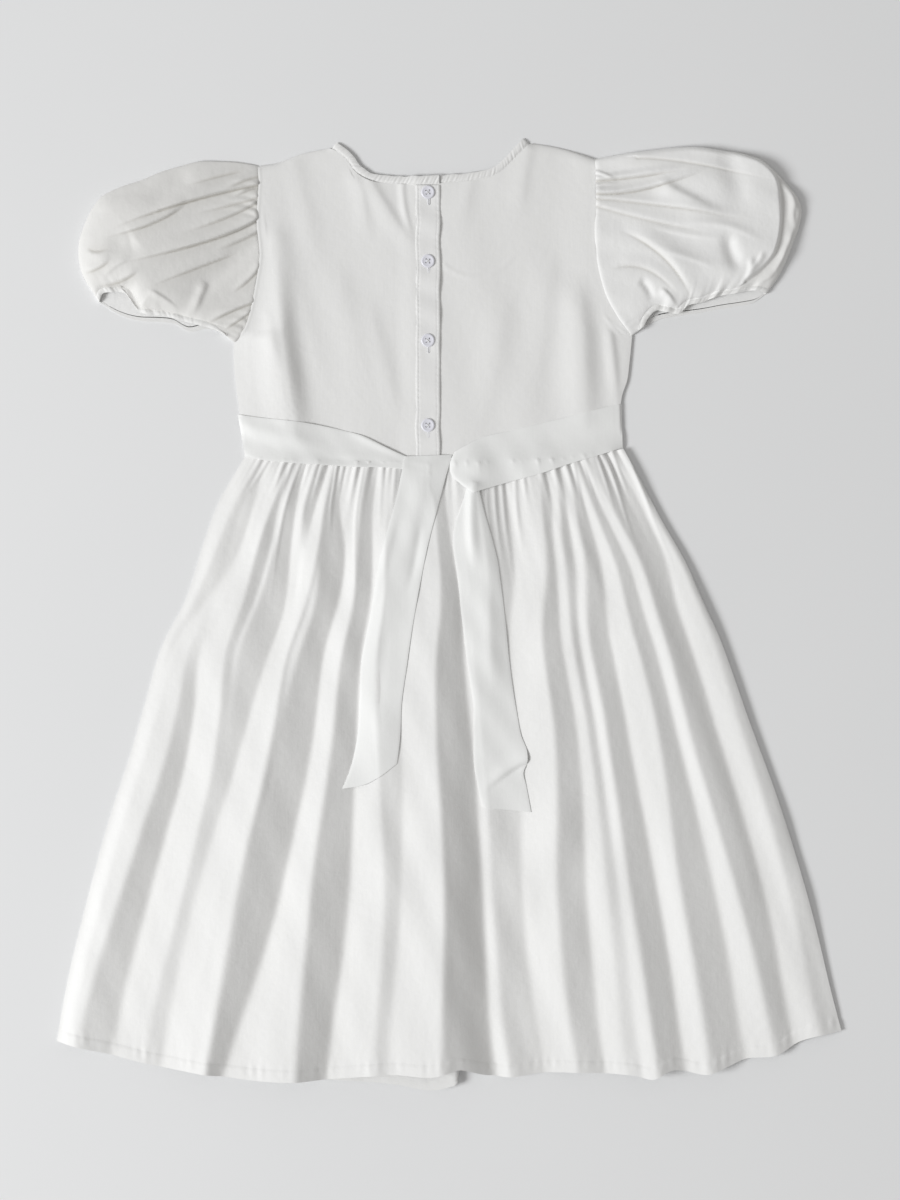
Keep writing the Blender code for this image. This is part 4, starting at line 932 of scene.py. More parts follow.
lilac_thread = thread_finish("buttonhole_thread", (0.85, 0.85, 0.87))
buttonhole = buttonhole_mesh(lilac_thread.material)
for number, height in enumerate(BUTTON_HEIGHTS, 1):
    place = (OPENING_X - PLACKET_WIDE / 2 + 0.5, height - 3.0, PLACKET_LEVEL + 0.1)
    placed(f"buttonhole_{number}", buttonhole, place)

# ---------------------------------------------------------------------------------------------------
# Neck binding: a bias strip of the dress cloth folded over the neck edge and stitched, which pulls it
# into slanting puckers. It crosses the placket's top on the left half, and runs on round the front.
# ---------------------------------------------------------------------------------------------------

PLACKET_LIFT = 1.4  # how much higher the binding lies on the placket
BINDING_THICK = 0.8
FRONT_BINDING_THICK = 0.6


def binding_middle(neck, heights, count, seed):
    """The binding's strip along the inner side of a neck edge, rounded over and puckered."""
    outer = outline(neck)
    inner = offset(outer, -BINDING_WIDE)
    share, across = np.meshgrid(np.linspace(0, 1, count), np.linspace(0, 1, 11))
    points = along(outer, share) * (1 - across[..., None]) + along(inner, share) * across[..., None]
    z = np.interp(share, np.linspace(0, 1, len(heights)), heights)
    measured = share * length_of(outer)
    puckers = 0.2 * ripple(measured + 4.0 * across, 2.9, seed) * np.sin(np.pi * across)
    round_over = 0.75 * np.sqrt(np.clip(1 - (2 * across - 0.9) ** 2, 0, 1))
    round_over = round_over - 0.35 * bump(across - 0.8, 0.1)
    edge = 0.35 * ripple(measured, 12.0, seed + 1)
    points[..., 1] += edge * (1 - across) * np.sin(np.pi * share) ** 0.5
    return np.concatenate([points, (z + round_over + puckers - 0.35)[..., None]], axis=-1)


binding_cloth = woven("binding_cloth", (0.865, 0.862, 0.852), PAINTED_WARM_SHADE, roughness=0.68, crumple=0.6)
for side in ("left", "right"):
    share = np.linspace(0, 1, 200)
    from_shoulder = share * length_of(BACK_NECK[side])
    heights = EDGE_REST + (BACK_LEVEL - EDGE_REST) * rolled(from_shoulder, SHOULDER_ROLL)
    if side == "left":
        heights = heights + PLACKET_LIFT * ease((share - 0.68) / 0.14)
    else:
        heights = heights[::-1]
    strip = binding_middle(BACK_NECK[side], heights, 240, 41 if side == "left" else 44)
    node = "neck_binding_back_" + side
    made = shell(f"neck_binding_{side}", strip, BINDING_THICK, binding_cloth, node)
    line = strip[8, 3:-3] + [0, 0, 0.25]
    stitches(f"neck_binding_{side}_stitches", line, 1.8, 0.8)
front_strip = binding_middle(FRONT_NECK, np.full(200, FRONT_LEVEL + 0.1), 420, 47)
front_strip[..., 2] = np.clip(front_strip[..., 2], 0.45, 1.3)
made = shell(
    "neck_binding_front_strip",
    front_strip,
    FRONT_BINDING_THICK,
    binding_cloth,
    "neck_binding_front",
)

# ---------------------------------------------------------------------------------------------------
# Puffed sleeves: wide short tubes, gathered to the armhole and to a narrow cuff band. Their fullness
# stands up off the table and puffs over the cuffs, and long pressed creases run out from the gathers.
# The cuffs are folded strips.
# ---------------------------------------------------------------------------------------------------

SLEEVE_OUTER = {
    "left": [
        SHOULDER_TIP["left"], (-146.9, 324.4), (-164.9, 325.8), (-179.3, 325.8), (-193.7, 322.2),
        (-208.1, 317.9), (-221.8, 312.1), (-236.9, 307.1), (-251.3, 299.2), (-257.0, 291.2),
        (-262.1, 280.4), (-265.7, 269.6), (-266.4, 258.8), (-264.5, 247.0), (-256.5, 232.5),
        (-251.5, 225.0),
    ],
    "right": [
        SHOULDER_TIP["right"], (123.1, 330.8), (144.7, 333.7), (166.3, 335.9), (180.7, 335.9),
        (195.1, 333.7), (213.1, 330.8), (223.9, 327.2), (232.5, 320.5), (244.8, 307.1), (250.6, 299.9),
        (253.4, 291.2), (252.0, 280.4), (247.0, 266.0), (241.2, 251.6), (235.4, 240.8), (228.0, 231.0),
    ],
}
CUFF_INNER_END = {"left": (-163.0, 203.0), "right": (140.0, 207.0)}
CUFF_UPPER = {
    "left": [
        (-251.5, 225.0), (-249.0, 230.5), (-241.0, 231.5), (-233.0, 231.0), (-228.0, 225.0),
        (-223.0, 218.0), (-215.0, 215.5), (-206.0, 214.5), (-198.0, 213.0), (-188.0, 210.0),
        (-178.0, 207.5), CUFF_INNER_END["left"],
    ],
    "right": [
        (228.0, 231.0), (222.0, 232.5), (214.0, 232.5), (205.0, 230.5), (195.0, 229.0), (182.0, 224.5),
        (171.0, 221.5), (166.0, 216.5), (157.0, 217.0), (149.0, 218.5), (143.0, 213.0),
        CUFF_INNER_END["right"],
    ],
}
CUFF_LOWER = {
    "left": [
        (-251.5, 225.0), (-242.6, 218.8), (-233.3, 214.2), (-222.5, 211.3), (-208.0, 210.5),
        (-198.0, 209.5), (-186.0, 203.4), (-176.0, 205.6), CUFF_INNER_END["left"],
    ],
    "right": [
        (228.0, 231.0), (218.2, 224.0), (209.5, 222.1), (195.1, 219.9), (180.7, 217.1), (166.3, 214.9),
        (152.0, 212.5), CUFF_INNER_END["right"],
    ],
}
# Where the upper layer of the right sleeve ends, folded down steeply on to the lower layer
RIGHT_FOLD = [
    (196.0, 335.0), (214.2, 330.0), (228.0, 323.5), (236.0, 312.0), (238.5, 295.9), (237.0, 268.3),
    (233.3, 257.8), (225.0, 248.0), (213.0, 239.0),
]
CUFF_WIDE = 4.0
CUFF_MOST = 0.5  # the greatest share of the sleeve's length that the cuff takes up
SLEEVE_THICK = 0.5
LAYER_LEVEL = 0.3  # the lower layer lies on the table
SLEEVE_START = {"left": 3.4, "right": 4.9}  # height just out from the armhole
SLEEVE_RISE = {"left": 8.0, "right": 4.4}  # how much higher the sleeve is at its far side
SLEEVE_REACH = {"left": 95.0, "right": 100.0}
SLEEVE_ROLL = {"left": 40.0, "right": 4.5}  # over which it rises from its outer edge
UNDER_ROLL = 9.0
PUFF_ROLL = 16.0  # over which it puffs up from the cuff
SEAM_DIP = {"left": 1.3, "right": 0.9}
BAND_LEVEL = 2.8
BAND_RISE = 1.4
SHELF_LEVEL = 4.6
SHELF_PAINTED_SHADE = 0.2
CUFF_CRUMPLE = {"left": 0.3, "right": 0.8}
SLEEVE_PAINTED_SHADE = {"left": 0.27, "right": 0.0}  # painted shade over the whole upper layer of each sleeve, which makes the left one darker
SLEEVE_CREASES = {
    "left": (
        Crease((-137, 310), (-188, 297), (-246, 276), 3.0, 1.1, 9.0, True),
        Crease((-186, 298), (-213, 281), (-250, 271), 1.6, 0.9, 6.0),
        Crease((-137, 298), (-160, 286), (-194, 274), 1.5, 0.9, 4.5, True),
        Crease((-137, 285), (-176, 268), (-242, 251), 2.4, 0.9, 8.0, True),
        Crease((-150, 262), (-180, 250), (-219, 234), 1.1, 0.9, 6.0),
        Crease((-137, 270), (-167, 244), (-198, 218), -1.8, 7.0, 12.0, True),
        Crease((-174, 240), (-179, 228), (-186, 211), 1.7, 2.2, 4.0),
        Crease((-141, 225), (-158, 218), (-178, 208), 1.6, 1.0, 4.0, True),
        Crease((-143, 218), (-153, 211), (-166, 203), 0.9, 0.9, 2.5, True),
        Crease((-146, 321), (-166, 316), (-190, 309), 1.0, 1.2, 4.0),
        Crease((-137, 316), (-147, 313), (-164, 305), 1.5, 1.2, 3.5, True),
        Crease((-137, 308), (-145, 306), (-158, 299), 1.4, 1.0, 2.5, True),
        Crease((-137, 301), (-154, 296), (-186, 288), 1.1, 1.0, 3.5, True),
        Crease((-137, 277), (-150, 270), (-170, 262), 1.0, 1.0, 3.0, True),
        Crease((-137, 250), (-146, 240), (-158, 232), 0.9, 1.2, 3.0, True),
        Crease((-186, 324), (-202, 305), (-226, 292), -2.2, 8.0, 9.0),
        Crease((-222, 268), (-234, 264), (-250, 268), -1.6, 8.0, 8.0),
        Crease((-256, 288), (-240, 296), (-222, 300), 1.0, 4.0, 6.0),
        Crease((-217, 233), (-204, 226), (-192, 216), 1.2, 1.5, 3.0),
        Crease((-222, 248), (-237, 240), (-254, 238), 1.2, 1.2, 3.0),
        Crease((-242, 256), (-253, 249), (-264, 247), 1.2, 1.2, 3.0),
        Crease((-226, 256), (-240, 249), (-250, 240), 1.0, 1.4, 3.0),
        Crease((-262, 262), (-252, 258), (-240, 262), 0.9, 1.5, 4.0),
        Crease((-230, 240), (-238, 236), (-246, 232), 1.0, 1.2, 2.5),
    ),
    "right": (
        Crease((136, 329), (176, 325), (242, 311), 1.1, 7.0, 1.2, True),
        Crease((104, 313), (138, 316), (172, 322), 2.4, 3.5, 1.2, True),
        Crease((104, 304), (141, 307), (190, 323), 2.8, 4.0, 1.3, True),
        Crease((148, 313), (170, 299), (204, 284), 3.0, 4.0, 9.0),
        Crease((104, 300), (156, 294), (222, 283), 1.5, 4.5, 1.0, True),
        Crease((106, 295), (145, 284), (190, 275), 1.0, 4.5, 1.2, True),
        Crease((158, 279), (196, 279), (228, 265), 1.2, 3.5, 2.0),
        Crease((122, 280), (158, 257), (180, 222), 2.7, 10.0, 2.6),
        Crease((114, 250), (143, 250), (168, 228), 1.4, 6.0, 2.0),
        Crease((200, 276), (203, 259), (212, 242), -2.8, 5.0, 5.0),
        Crease((194, 340), (206, 311), (210, 284), -2.2, 9.0, 9.0),
        Crease((146, 262), (174, 255), (193, 247), 0.8, 3.5, 1.6),
        Crease((215, 258), (216, 246), (209, 234), 1.8, 3.0, 2.0),
        Crease((104, 318), (111, 316), (122, 310), 1.3, 1.3, 1.0, True),
        Crease((103, 309), (112, 309), (124, 311), 1.2, 1.3, 1.0, True),
        Crease((142, 280), (174, 272), (201, 270), 0.8, 2.5, 1.2),
        Crease((226, 262), (221, 252), (214, 246), 1.4, 2.5, 1.6),
        Crease((136, 241), (143, 234), (147, 221), -1.8, 3.0, 3.0),
        Crease((150, 234), (158, 228), (163, 217), 2.0, 1.6, 3.0),
    ),
}
# Stretches of the armhole, as shares from the shoulder, along which the sleeve is gathered closely
SLEEVE_GATHERED = {"left": ((0.06, 0.42), (0.78, 1.0)), "right": ((0.05, 0.36), (0.9, 1.0))}
# Small folds of the right sleeve's lower layer where it shows beside the upper one
SHELF_CREASES = (
    Crease((240, 312), (247, 300), (244, 288), 1.3, 2.0, 3.0),
    Crease((252, 300), (247, 288), (250, 276), 1.0, 1.5, 2.5),
    Crease((247, 280), (243, 262), (236, 246), 1.4, 1.5, 3.0),
    Crease((243, 268), (237, 252), (226, 238), 1.2, 1.5, 3.0),
    Crease((234, 246), (226, 240), (214, 235), 1.0, 1.2, 2.5),
)
SLEEVE_ACROSS = 190
SLEEVE_LONG = 170


def sleeve_patch(side, upper, across, share):
    """Points of one layer of a sleeve with its cuff, from armhole to wrist."""
    armhole = offset(outline(ARMHOLE[side]), 0.8 if side == "left" else -0.8)
    wrist = outline((CUFF_UPPER if upper else CUFF_LOWER)[side])
    outer = outline([armhole[0], *SLEEVE_OUTER[side][1:]])
    under = resample(np.array([armhole[-1], CUFF_INNER_END[side]]))
    return patch(outer, under, armhole, wrist, share, across)


def sleeve_layer(side, upper, across, steps, cuff):
    """One layer of a sleeve, or of its cuff, from its outer edge to its underarm seam."""
    dense = np.linspace(0, 1, 121)
    grid = sleeve_patch(side, upper, *np.meshgrid(across, dense))
    steps_long = np.linalg.norm(np.diff(grid, axis=0), axis=-1)
    from_armhole = np.vstack([np.zeros(len(across)), steps_long.cumsum(axis=0)])
    reach = from_armhole[-1]
    cuff_start = reach - np.minimum(CUFF_WIDE, CUFF_MOST * reach)
    t = np.asarray(steps)[:, None]
    wanted = cuff_start + (reach - cuff_start) * t if cuff else (cuff_start + 0.6) * t
    shares = [np.interp(place, run, dense) for place, run in zip(wanted.T, from_armhole.T)]
    share = np.stack(shares, axis=-1)
    v = np.broadcast_to(across, share.shape)
    points = sleeve_patch(side, upper, v, share)
    seed = 60 if side == "left" else 70
    way = -1 if side == "left" else 1
    from_outer = beside(points, outline(SLEEVE_OUTER[side])[::5])[0]
    from_under = np.linalg.norm(points - points[:, -1:], axis=-1) if upper else 1e3
    out = way * (points[..., 0] - SHOULDER_TIP[side][0])
    edge = 0.9 + 0.4 * ease(out / 40)
    if not upper:
        near_edge = (1 - rolled(np.minimum(v, 1 - v), 0.12)) ** 2
        z = LAYER_LEVEL + (edge - LAYER_LEVEL) * near_edge
        return np.concatenate([points, z[..., None]], axis=-1), np.zeros(z.shape)
    folds, slit = creased(points, SLEEVE_CREASES[side])
    full = SLEEVE_START[side] + SLEEVE_RISE[side] * ease(out / SLEEVE_REACH[side]) + folds
    full = full + 0.5 * ripple(points[..., 1] + way * 0.31 * points[..., 0], 30.0, seed + 3)
    from_cuff = beside(points, outline(CUFF_UPPER[side])[::5])[0]
    along_seam = v * 150
    gathered = sum(ease((v - low) / 0.05) * ease((high - v) / 0.05) for low, high in SLEEVE_GATHERED[side])
    fading = np.exp(-wanted / 12.0) * ease(wanted / 3)
    full = full + 0.55 * gathered * ripple(along_seam, 7.0, seed + 1) * fading
    full = full + 0.3 * ripple(along_seam, 7.0, seed + 2) * np.exp(-from_cuff / 6.0)
    full = np.maximum(full, edge)
    if side == "right":
        inward, lying, _ = beside(points, outline(RIGHT_FOLD)[::5])
        inside = ease(np.where(lying < 0, inward, -inward) / 3.0 + 0.25)
        shelf = edge + SHELF_LEVEL + creased(points, SHELF_CREASES)[0]
        full = shelf + (full - shelf) * inside
        # Painted shade over the lower layer where it shows beside the upper one's fold, in its shadow
        slit = slit + SHELF_PAINTED_SHADE * (1 - inside)
    z = edge + (full - edge) * rolled(from_outer, SLEEVE_ROLL[side])
    z = edge + (z - edge) * rolled(from_under, UNDER_ROLL)
    band = BAND_LEVEL + BAND_RISE * rolled(from_outer, UNDER_ROLL)
    band = band + CUFF_CRUMPLE[side] * ripple(along_seam, 17.0, seed + 5)
    z = band + (z - band) * rolled(from_cuff - CUFF_WIDE, PUFF_ROLL)
    z = z - SEAM_DIP[side] * np.exp(-wanted)
    if cuff:
        z = band + 0.5 * np.sin(np.pi * t) + 0.14 * ripple(along_seam, 5.0, seed) * (1 - 0.5 * t)
    # Painted shade: the crease slits, the shelf and the sleeve-wide amount darken the upper layer's colour
    shade = np.zeros(z.shape) if cuff else slit + SLEEVE_PAINTED_SHADE[side]
    return np.concatenate([points, z[..., None]], axis=-1), shade


# The sleeves' colour is a little lighter than the dress's white: painted light, which the left sleeve's
# painted shade takes back down
sleeve_cloth = woven("sleeve_cloth", (0.905, 0.903, 0.895), PAINTED_WARM_SHADE, crumple=1.2)
cuff_cloth = woven("cuff_cloth", (0.865, 0.862, 0.85), PAINTED_WARM_SHADE, crumple=0.8)
over = (1 - np.cos(np.linspace(0, np.pi, SLEEVE_ACROSS))) / 4 + np.linspace(0, 0.5, SLEEVE_ACROSS)
under = over[1:-1][::-4]
for side in ("left", "right"):
    kinds = (("sleeve", sleeve_cloth, SLEEVE_LONG, False), ("cuff", cuff_cloth, 12, True))
    for kind, finish, count, cuff in kinds:
        steps = np.linspace(0, 1, count)
        layers = [
            sleeve_layer(side, True, over, steps, cuff),
            sleeve_layer(side, False, under, steps, cuff),
        ]
        turn = -1 if side == "left" else 1
        tube, slit = (np.concatenate(part, axis=1)[:, ::turn] for part in zip(*layers))
        name = f"{kind}_{side}"
        made = shell(name + "_cloth", tube, SLEEVE_THICK, finish, name, closed=True, painted_shade=slit)

# ---------------------------------------------------------------------------------------------------
# Sash: a doubled, pressed band of the dress cloth. Two stretches come from the side seams and are tied
# once, so that one passes behind and over the other, and two free ends hang down on the skirt.
# ---------------------------------------------------------------------------------------------------

SASH_LEFT = {
    "top": [
        (-152.0, 143.8), (-136.1, 141.5), (-121.7, 140.0), (-100.1, 137.2), (-78.5, 132.8),
        (-60.5, 127.8), (-46.1, 120.6), (-30.2, 113.4), (-12.0, 108.0),
    ],
    "bottom": [
        (-146.5, 114.1), (-134.6, 111.2), (-114.5, 109.0), (-92.9, 107.7), (-71.3, 106.1), (-35.3, 104.6),
        (-12.0, 99.0),
    ],
}
SASH_RIGHT = {
    "top": [
        (4.3, 117.0), (22.3, 126.4), (43.9, 132.1), (65.5, 137.2), (87.1, 142.2), (108.7, 148.0),
        (124.1, 151.7),
    ],
    "bottom": [
        (17.3, 87.5), (43.9, 95.4), (65.5, 101.2), (87.1, 108.4), (108.7, 114.8), (124.8, 119.9),
    ],
    "curl": [
        (4.3, 117.0), (0.9, 109.8), (1.2, 101.5), (8.0, 94.0), (17.3, 87.5),
    ],
}
TAIL_LEFT = {
    "left": [
        (-31.7, 113.6), (-38.2, 82.4), (-46.1, 53.6), (-49.7, 39.2), (-56.9, -4.0), (-62.6, -32.8),
        (-64.1, -61.6), (-66.2, -90.4), (-71.3, -112.0), (-76.3, -124.9),
    ],
    "right": [
        (2.2, 114.8), (-2.9, 96.8), (-8.6, 75.2), (-15.1, 50.0), (-20.9, 21.2), (-26.6, -11.2),
        (-30.2, -36.4), (-33.8, -61.6), (-35.3, -90.4), (-37.4, -106.9),
    ],
    "end": [
        (-76.3, -124.9), (-60.5, -122.0), (-49.7, -116.3), (-37.4, -106.9),
    ],
}
TAIL_RIGHT = {
    "left": [
        (13.4, 95.0), (11.5, 86.0), (7.9, 75.2), (4.3, 64.4), (2.9, 53.6), (4.3, 39.2), (6.5, 24.8),
        (9.4, -4.0), (12.2, -25.6), (15.1, -47.2), (17.3, -61.6), (18.7, -112.0), (23.8, -137.9),
    ],
    "right": [
        (20.4, 95.0), (25.9, 71.6), (31.0, 53.6), (34.6, 39.2), (36.7, 24.8), (40.3, -4.0), (43.2, -32.8),
        (49.0, -72.4), (51.8, -86.8), (56.2, -99.0), (56.2, -106.2), (53.5, -113.4), (55.4, -122.8),
        (59.0, -142.2),
    ],
    "end": [
        (23.8, -137.9), (36.7, -140.8), (47.5, -142.2), (59.0, -144.4),
    ],
}
SASH_LIFT = 0.42
SASH_THICK = 0.4
SASH_WIDE = 34.0
SASH_CREASES = {
    "sash_left": (
        Crease((-150, 131), (-136, 123), (-112, 115), -0.5, 4.0, 6.0, True),
        Crease((-150, 138), (-120, 128), (-70, 116), 1.2, 6.0, 5.0, True),
        Crease((-100, 112), (-60, 110), (-30, 108), -0.7, 3.0, 3.0),
        Crease((-75, 134), (-48, 121), (-22, 110), 0.9, 1.6, 3.0),
    ),
    "sash_right": (
        Crease((6, 103), (30, 108), (60, 116), 0.7, 7.0, 8.0),
        Crease((60, 120), (90, 128), (120, 137), -0.6, 6.0, 6.0, False),
    ),
    "sash_tail_left": (
        Crease((-18, 108), (-28, 60), (-40, 20), 1.0, 6.0, 7.0),
        Crease((-20, 70), (-24, 40), (-32, 10), -0.8, 3.0, 3.0),
        Crease((-36, 80), (-46, 40), (-55, 0), 0.7, 3.0, 4.0),
        Crease((-44, 0), (-50, -50), (-54, -110), -0.7, 5.0, 6.0),
    ),
    "sash_tail_right": (
        Crease((17, 92), (16, 62), (20, 28), 2.2, 4.5, 3.5, True),
        Crease((24, 30), (30, -20), (34, -70), 0.8, 6.0, 6.0),
        Crease((57, -104), (42, -112), (22, -128), 1.6, 2.0, 6.0, True),
    ),
}


def strip_points(edges, columns, rows):
    """Plan points of a strip between two long edges and two ends."""
    across, down = np.meshgrid(columns, rows)
    return patch(*edges, across, down)


def softened(height, axis):
    """The heights evened out a little along one axis."""
    level = np.moveaxis(height, axis, 0)
    soft = level.copy()
    soft[1:-1] = (level[:-2] + 2 * level[1:-1] + level[2:]) / 4
    return np.moveaxis(soft, 0, axis)


def resting(points, pieces, eased):
    """Height of a strip that lies on the pieces below, bridging their hollows."""
    graph = bpy.context.evaluated_depsgraph_get()
    trees = [BVHTree.FromObject(piece, graph) for piece in pieces]
    support = np.zeros(points.shape[:-1])
    for place in np.ndindex(support.shape):
        start = Vector((points[place][0] * MM, points[place][1] * MM, 0.2))
        hits = [tree.ray_cast(start, Vector((0, 0, -1)))[0] for tree in trees]
        support[place] = max([0.0] + [hit.z / MM for hit in hits if hit is not None])
    height = support.copy()
    for _ in range(eased):
        for axis in (0, 1):
            height = np.maximum(support, softened(height, axis))
    for _ in range(6):
        for axis in (0, 1):
            height = softened(height, axis)
    return np.maximum(height, support)


def lay(name, plan, below, edge_axis, eased, curl=0.0):
    """A doubled strip of the sash, laid on what is below it, with pressed edges."""
    height = resting(plan, below, eased) + SASH_LIFT + curl
    rows, columns = height.shape
    place = np.linspace(0, 1, rows if edge_axis == 0 else columns)
    from_edge = np.minimum(place, 1 - place) * SASH_WIDE
    pressed = -0.16 * (1 - rolled(from_edge, 1.2))
    height = height + (pressed[:, None] if edge_axis == 0 else pressed[None, :])
    height = height + creased(plan, SASH_CREASES[name])[0]
    height = height + 0.15 * ripple(plan[..., 0] + 0.7 * plan[..., 1], 22.0, len(name))
    grid = np.concatenate([plan, height[..., None]], axis=-1)
    made = shell(name + "_cloth", grid, SASH_THICK, sash_cloth, name)
    return made


# The sash's colour is a little lighter than the dress's white: painted light that sets it off brighter
# against the bodice above it
sash_cloth = woven("sash_cloth", (0.9, 0.903, 0.892), PAINTED_WARM_SHADE, roughness=0.6, sheen=0.3, crumple=0.5)
body_below = [bpy.data.objects[f"bodice_back_{side}_cloth"] for side in ("left", "right")]
body_below += [skirt_back, placket]

left_edges = [outline(SASH_LEFT[edge]) for edge in ("top", "bottom")]
left_edges += [resample(np.array([SASH_LEFT["top"][k], SASH_LEFT["bottom"][k]])) for k in (0, -1)]
plan = strip_points(left_edges, np.linspace(0, 1, 110), np.linspace(0, 1, 32))
sash_left = lay("sash_left", plan, body_below, 0, eased=150)

tail_edges = {}
for name, tail in (("left", TAIL_LEFT), ("right", TAIL_RIGHT)):
    start = resample(np.array([tail["left"][0], tail["right"][0]]))
    tail_edges[name] = [start, outline(tail["end"]), outline(tail["left"]), outline(tail["right"])]
plan = strip_points(tail_edges["right"], np.linspace(0, 1, 30), np.linspace(0, 1, 170))
tail_right = lay("sash_tail_right", plan, [*body_below, sash_left], 1, eased=200)

CURL_HIGH = 0.6
CURL_WIDE = 3.0
right_edges = [outline(SASH_RIGHT[edge]) for edge in ("top", "bottom", "curl")]
right_edges.append(resample(np.array([SASH_RIGHT["top"][-1], SASH_RIGHT["bottom"][-1]])))
plan = strip_points(right_edges, np.linspace(0, 1, 110), np.linspace(0, 1, 32))
below = [*body_below, sash_left, tail_right]
from_curl = np.linalg.norm(plan - plan[:, :1], axis=-1)
curl = CURL_HIGH * rolled(from_curl, CURL_WIDE) * (1 - ease((from_curl - CURL_WIDE) / 40.0))
sash_right = lay("sash_right", plan, below, 0, eased=150, curl=curl)

plan = strip_points(tail_edges["left"], np.linspace(0, 1, 32), np.linspace(0, 1, 170))
below = [*body_below, sash_left, tail_right, sash_right]
lay("sash_tail_left", plan, below, 1, eased=200)

# ---------------------------------------------------------------------------------------------------
# Buttons: four small sew-through buttons of pale milky plastic with a raised rim and four thread holes,
# sewn to the right half with a cross of thread and pushed through the buttonholes.
# ---------------------------------------------------------------------------------------------------

BUTTON_WIDE = 9.6
BUTTON_THICK = 1.2
BUTTON_REST = 3.6
BUTTON_TURNS = (0.1, -0.05, 0.12, 0.0)
HOLES_APART = 2.5
# The turned profile from the middle of the underside, out to the rim and back: radius and height as shares
BUTTON_PROFILE = (
    (0.0, 0.0), (0.8, 0.0), (0.93, 0.12), (1.0, 0.38), (0.99, 0.66), (0.93, 0.86), (0.84, 0.94),
    (0.76, 0.92), (0.69, 0.82), (0.64, 0.76), (0.4, 0.72), (0.0, 0.7),
)


def turned_button(finish):
    """One button's turned shape, before its thread holes are drilled."""
    mesh = bmesh.new()
    rings = []
    sides = 48
    for radius, height in BUTTON_PROFILE:
        r = radius * BUTTON_WIDE / 2 * MM
        z = height * BUTTON_THICK * MM
        if radius == 0:
            rings.append([mesh.verts.new((0, 0, z))])
            continue
        turns = np.linspace(0, 2 * np.pi, sides, endpoint=False)
        rings.append([mesh.verts.new((r * np.cos(a), r * np.sin(a), z)) for a in turns])
    for lower, upper in zip(rings, rings[1:]):
        for j in range(sides):
            k = (j + 1) % sides
            below = (lower[j % len(lower)], lower[k % len(lower)])
            above = (upper[k % len(upper)], upper[j % len(upper)])
            mesh.faces.new(tuple(dict.fromkeys(below + above)))
    bmesh.ops.recalc_face_normals(mesh, faces=mesh.faces)
    data = bpy.data.meshes.new("sewn_button")
    mesh.to_mesh(data)
    mesh.free()
    data.materials.append(finish.material)
    return data


def drill_mesh():
    """The four drills that make the thread holes."""
    mesh = bmesh.new()
    for dx in (-0.5, 0.5):
        for dy in (-0.5, 0.5):
            depth = 4 * BUTTON_THICK * MM
            made = bmesh.ops.create_cone(
                mesh, cap_ends=True, segments=16, radius1=0.55 * MM, radius2=0.55 * MM, depth=depth
            )
            bmesh.ops.translate(mesh, verts=made["verts"], vec=Vector((dx, dy, 0)) * HOLES_APART * MM)
    data = bpy.data.meshes.new("drills")
    mesh.to_mesh(data)
    mesh.free()
    return data


def thread_cross(centre, seed):
    """Thread over the button, from hole to hole both ways, as a joined mesh of bent strands."""
    random = np.random.default_rng(seed)
    corners = []
    faces = []
    reach = HOLES_APART * 0.5
    for strand in range(6):
        way = 1 if strand % 2 else -1
        shift = random.uniform(-0.22, 0.22, 2)
        t = np.linspace(-1, 1, 11)
        x = t * reach * way + shift[0] * (1 - t * t)
        y = t * reach + shift[1] * (1 - t * t)
        z = BUTTON_REST + 0.7 * BUTTON_THICK + 0.4 * (1 - t**4) - 0.25 + 0.04 * strand
        faces += tube_faces(len(corners), len(t))
        for px, py, pz in zip(x, y, z):
            for turn in np.linspace(0, 2 * np.pi, THREAD_SIDES, endpoint=False):
                ring = np.array([-way * np.cos(turn) * 0.7, np.cos(turn) * 0.7, np.sin(turn)]) * 0.14
                corners.append(np.array([px, py, pz]) + ring + [*centre, 0])
    return smooth_mesh("thread_cross", corners, faces, white_thread)


button_plastic = Finish("button_plastic", Specular_IOR_Level=0.5, Coat_Roughness=0.2)
button_place = button_plastic.node("ShaderNodeTexCoord")["Object"]
cloud = button_plastic.noise(button_place, 350.0, 3.0)
milky = button_plastic.mix(cloud, (0.8, 0.8, 0.87), (0.84, 0.84, 0.9))
button_plastic.feed_shader("Base Color", milky)
button_plastic.feed_shader("Roughness", cloud * 0.2 + 0.22)
button_plastic.feed_shader("Normal", button_plastic.bump(cloud, 0.08, 0.0002))

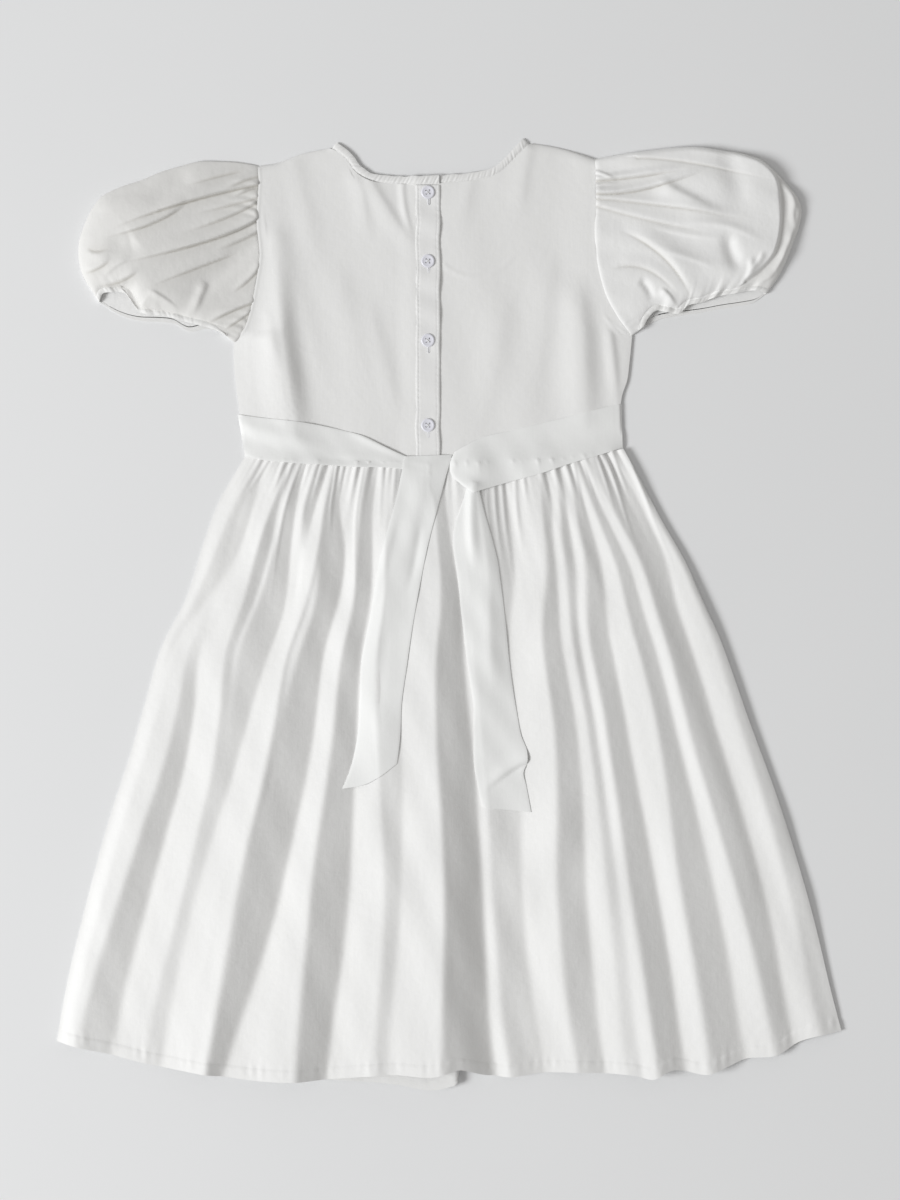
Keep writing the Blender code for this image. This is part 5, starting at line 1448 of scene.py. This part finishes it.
drills = bpy.data.objects.new("button_drills", drill_mesh())
bpy.context.scene.collection.objects.link(drills)
blank = bpy.data.objects.new("button_blank", turned_button(button_plastic))
bpy.context.scene.collection.objects.link(blank)
cut = blank.modifiers.new("thread holes", "BOOLEAN")
cut.operation = "DIFFERENCE"
cut.object = drills
drilled = bpy.data.meshes.new_from_object(blank.evaluated_get(bpy.context.evaluated_depsgraph_get()))
drilled.name = "drilled_button"
drilled.shade_smooth()
drilled.set_sharp_from_angle(angle=0.7)
bpy.data.objects.remove(drills)
bpy.data.objects.remove(blank)
for number, height in enumerate(BUTTON_HEIGHTS, 1):
    centre = (OPENING_X - PLACKET_WIDE / 2, height)
    place = (*centre, BUTTON_REST)
    made = placed(f"sewn_button_{number}", drilled, place, BUTTON_TURNS[number - 1])
    placed(f"button_{number}_thread", thread_cross(centre, 80 + number))
    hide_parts(f"button_{number}")

# ---------------------------------------------------------------------------------------------------
# The pale table, the soft light from the left and a little from the hem's side, and the camera above.
# ---------------------------------------------------------------------------------------------------

table_finish = Finish("table_paint", Specular_IOR_Level=0.2)
table_place = table_finish.node("ShaderNodeTexCoord")["Object"]
mottle = table_finish.noise(table_place, 3.0, 2.0)
paint = table_finish.mix(mottle, (0.84, 0.845, 0.85), (0.87, 0.872, 0.876))
table_finish.feed_shader("Base Color", paint)
table_finish.feed_shader("Roughness", mottle * 0.1 + 0.75)
bpy.ops.mesh.primitive_plane_add(size=6, location=(0, 0, -0.00005))
table = bpy.context.object
table.name = "table"
table.data.materials.append(table_finish.material)

world = bpy.data.worlds.new("room")
world.use_nodes = True
room_light = world.node_tree.nodes["Background"].inputs
room_light["Color"].default_value = (1.0, 0.99, 0.975, 1.0)
room_light["Strength"].default_value = 0.38
bpy.context.scene.world = world

key_data = bpy.data.lights.new("window", "AREA")
key_data.shape = "DISK"
key_data.size = 2.0
key_data.energy = 187
key_data.color = (0.98, 0.99, 1.0)
key = bpy.data.objects.new("window", key_data)
key.location = (-3.9, -0.9, 2.96)
key.rotation_euler = (-Vector(key.location)).to_track_quat("-Z", "Y").to_euler()
bpy.context.scene.collection.objects.link(key)

CAMERA_HIGH = 2.04
VIEW_TALL = 0.864
camera_data = bpy.data.cameras.new("camera")
camera_data.lens = camera_data.sensor_width * CAMERA_HIGH / VIEW_TALL
camera = bpy.data.objects.new("camera", camera_data)
camera.location = (0.0007, 0.0104, CAMERA_HIGH)
bpy.context.scene.collection.objects.link(camera)
bpy.context.scene.camera = camera
bpy.context.scene.view_settings.view_transform = "Standard"
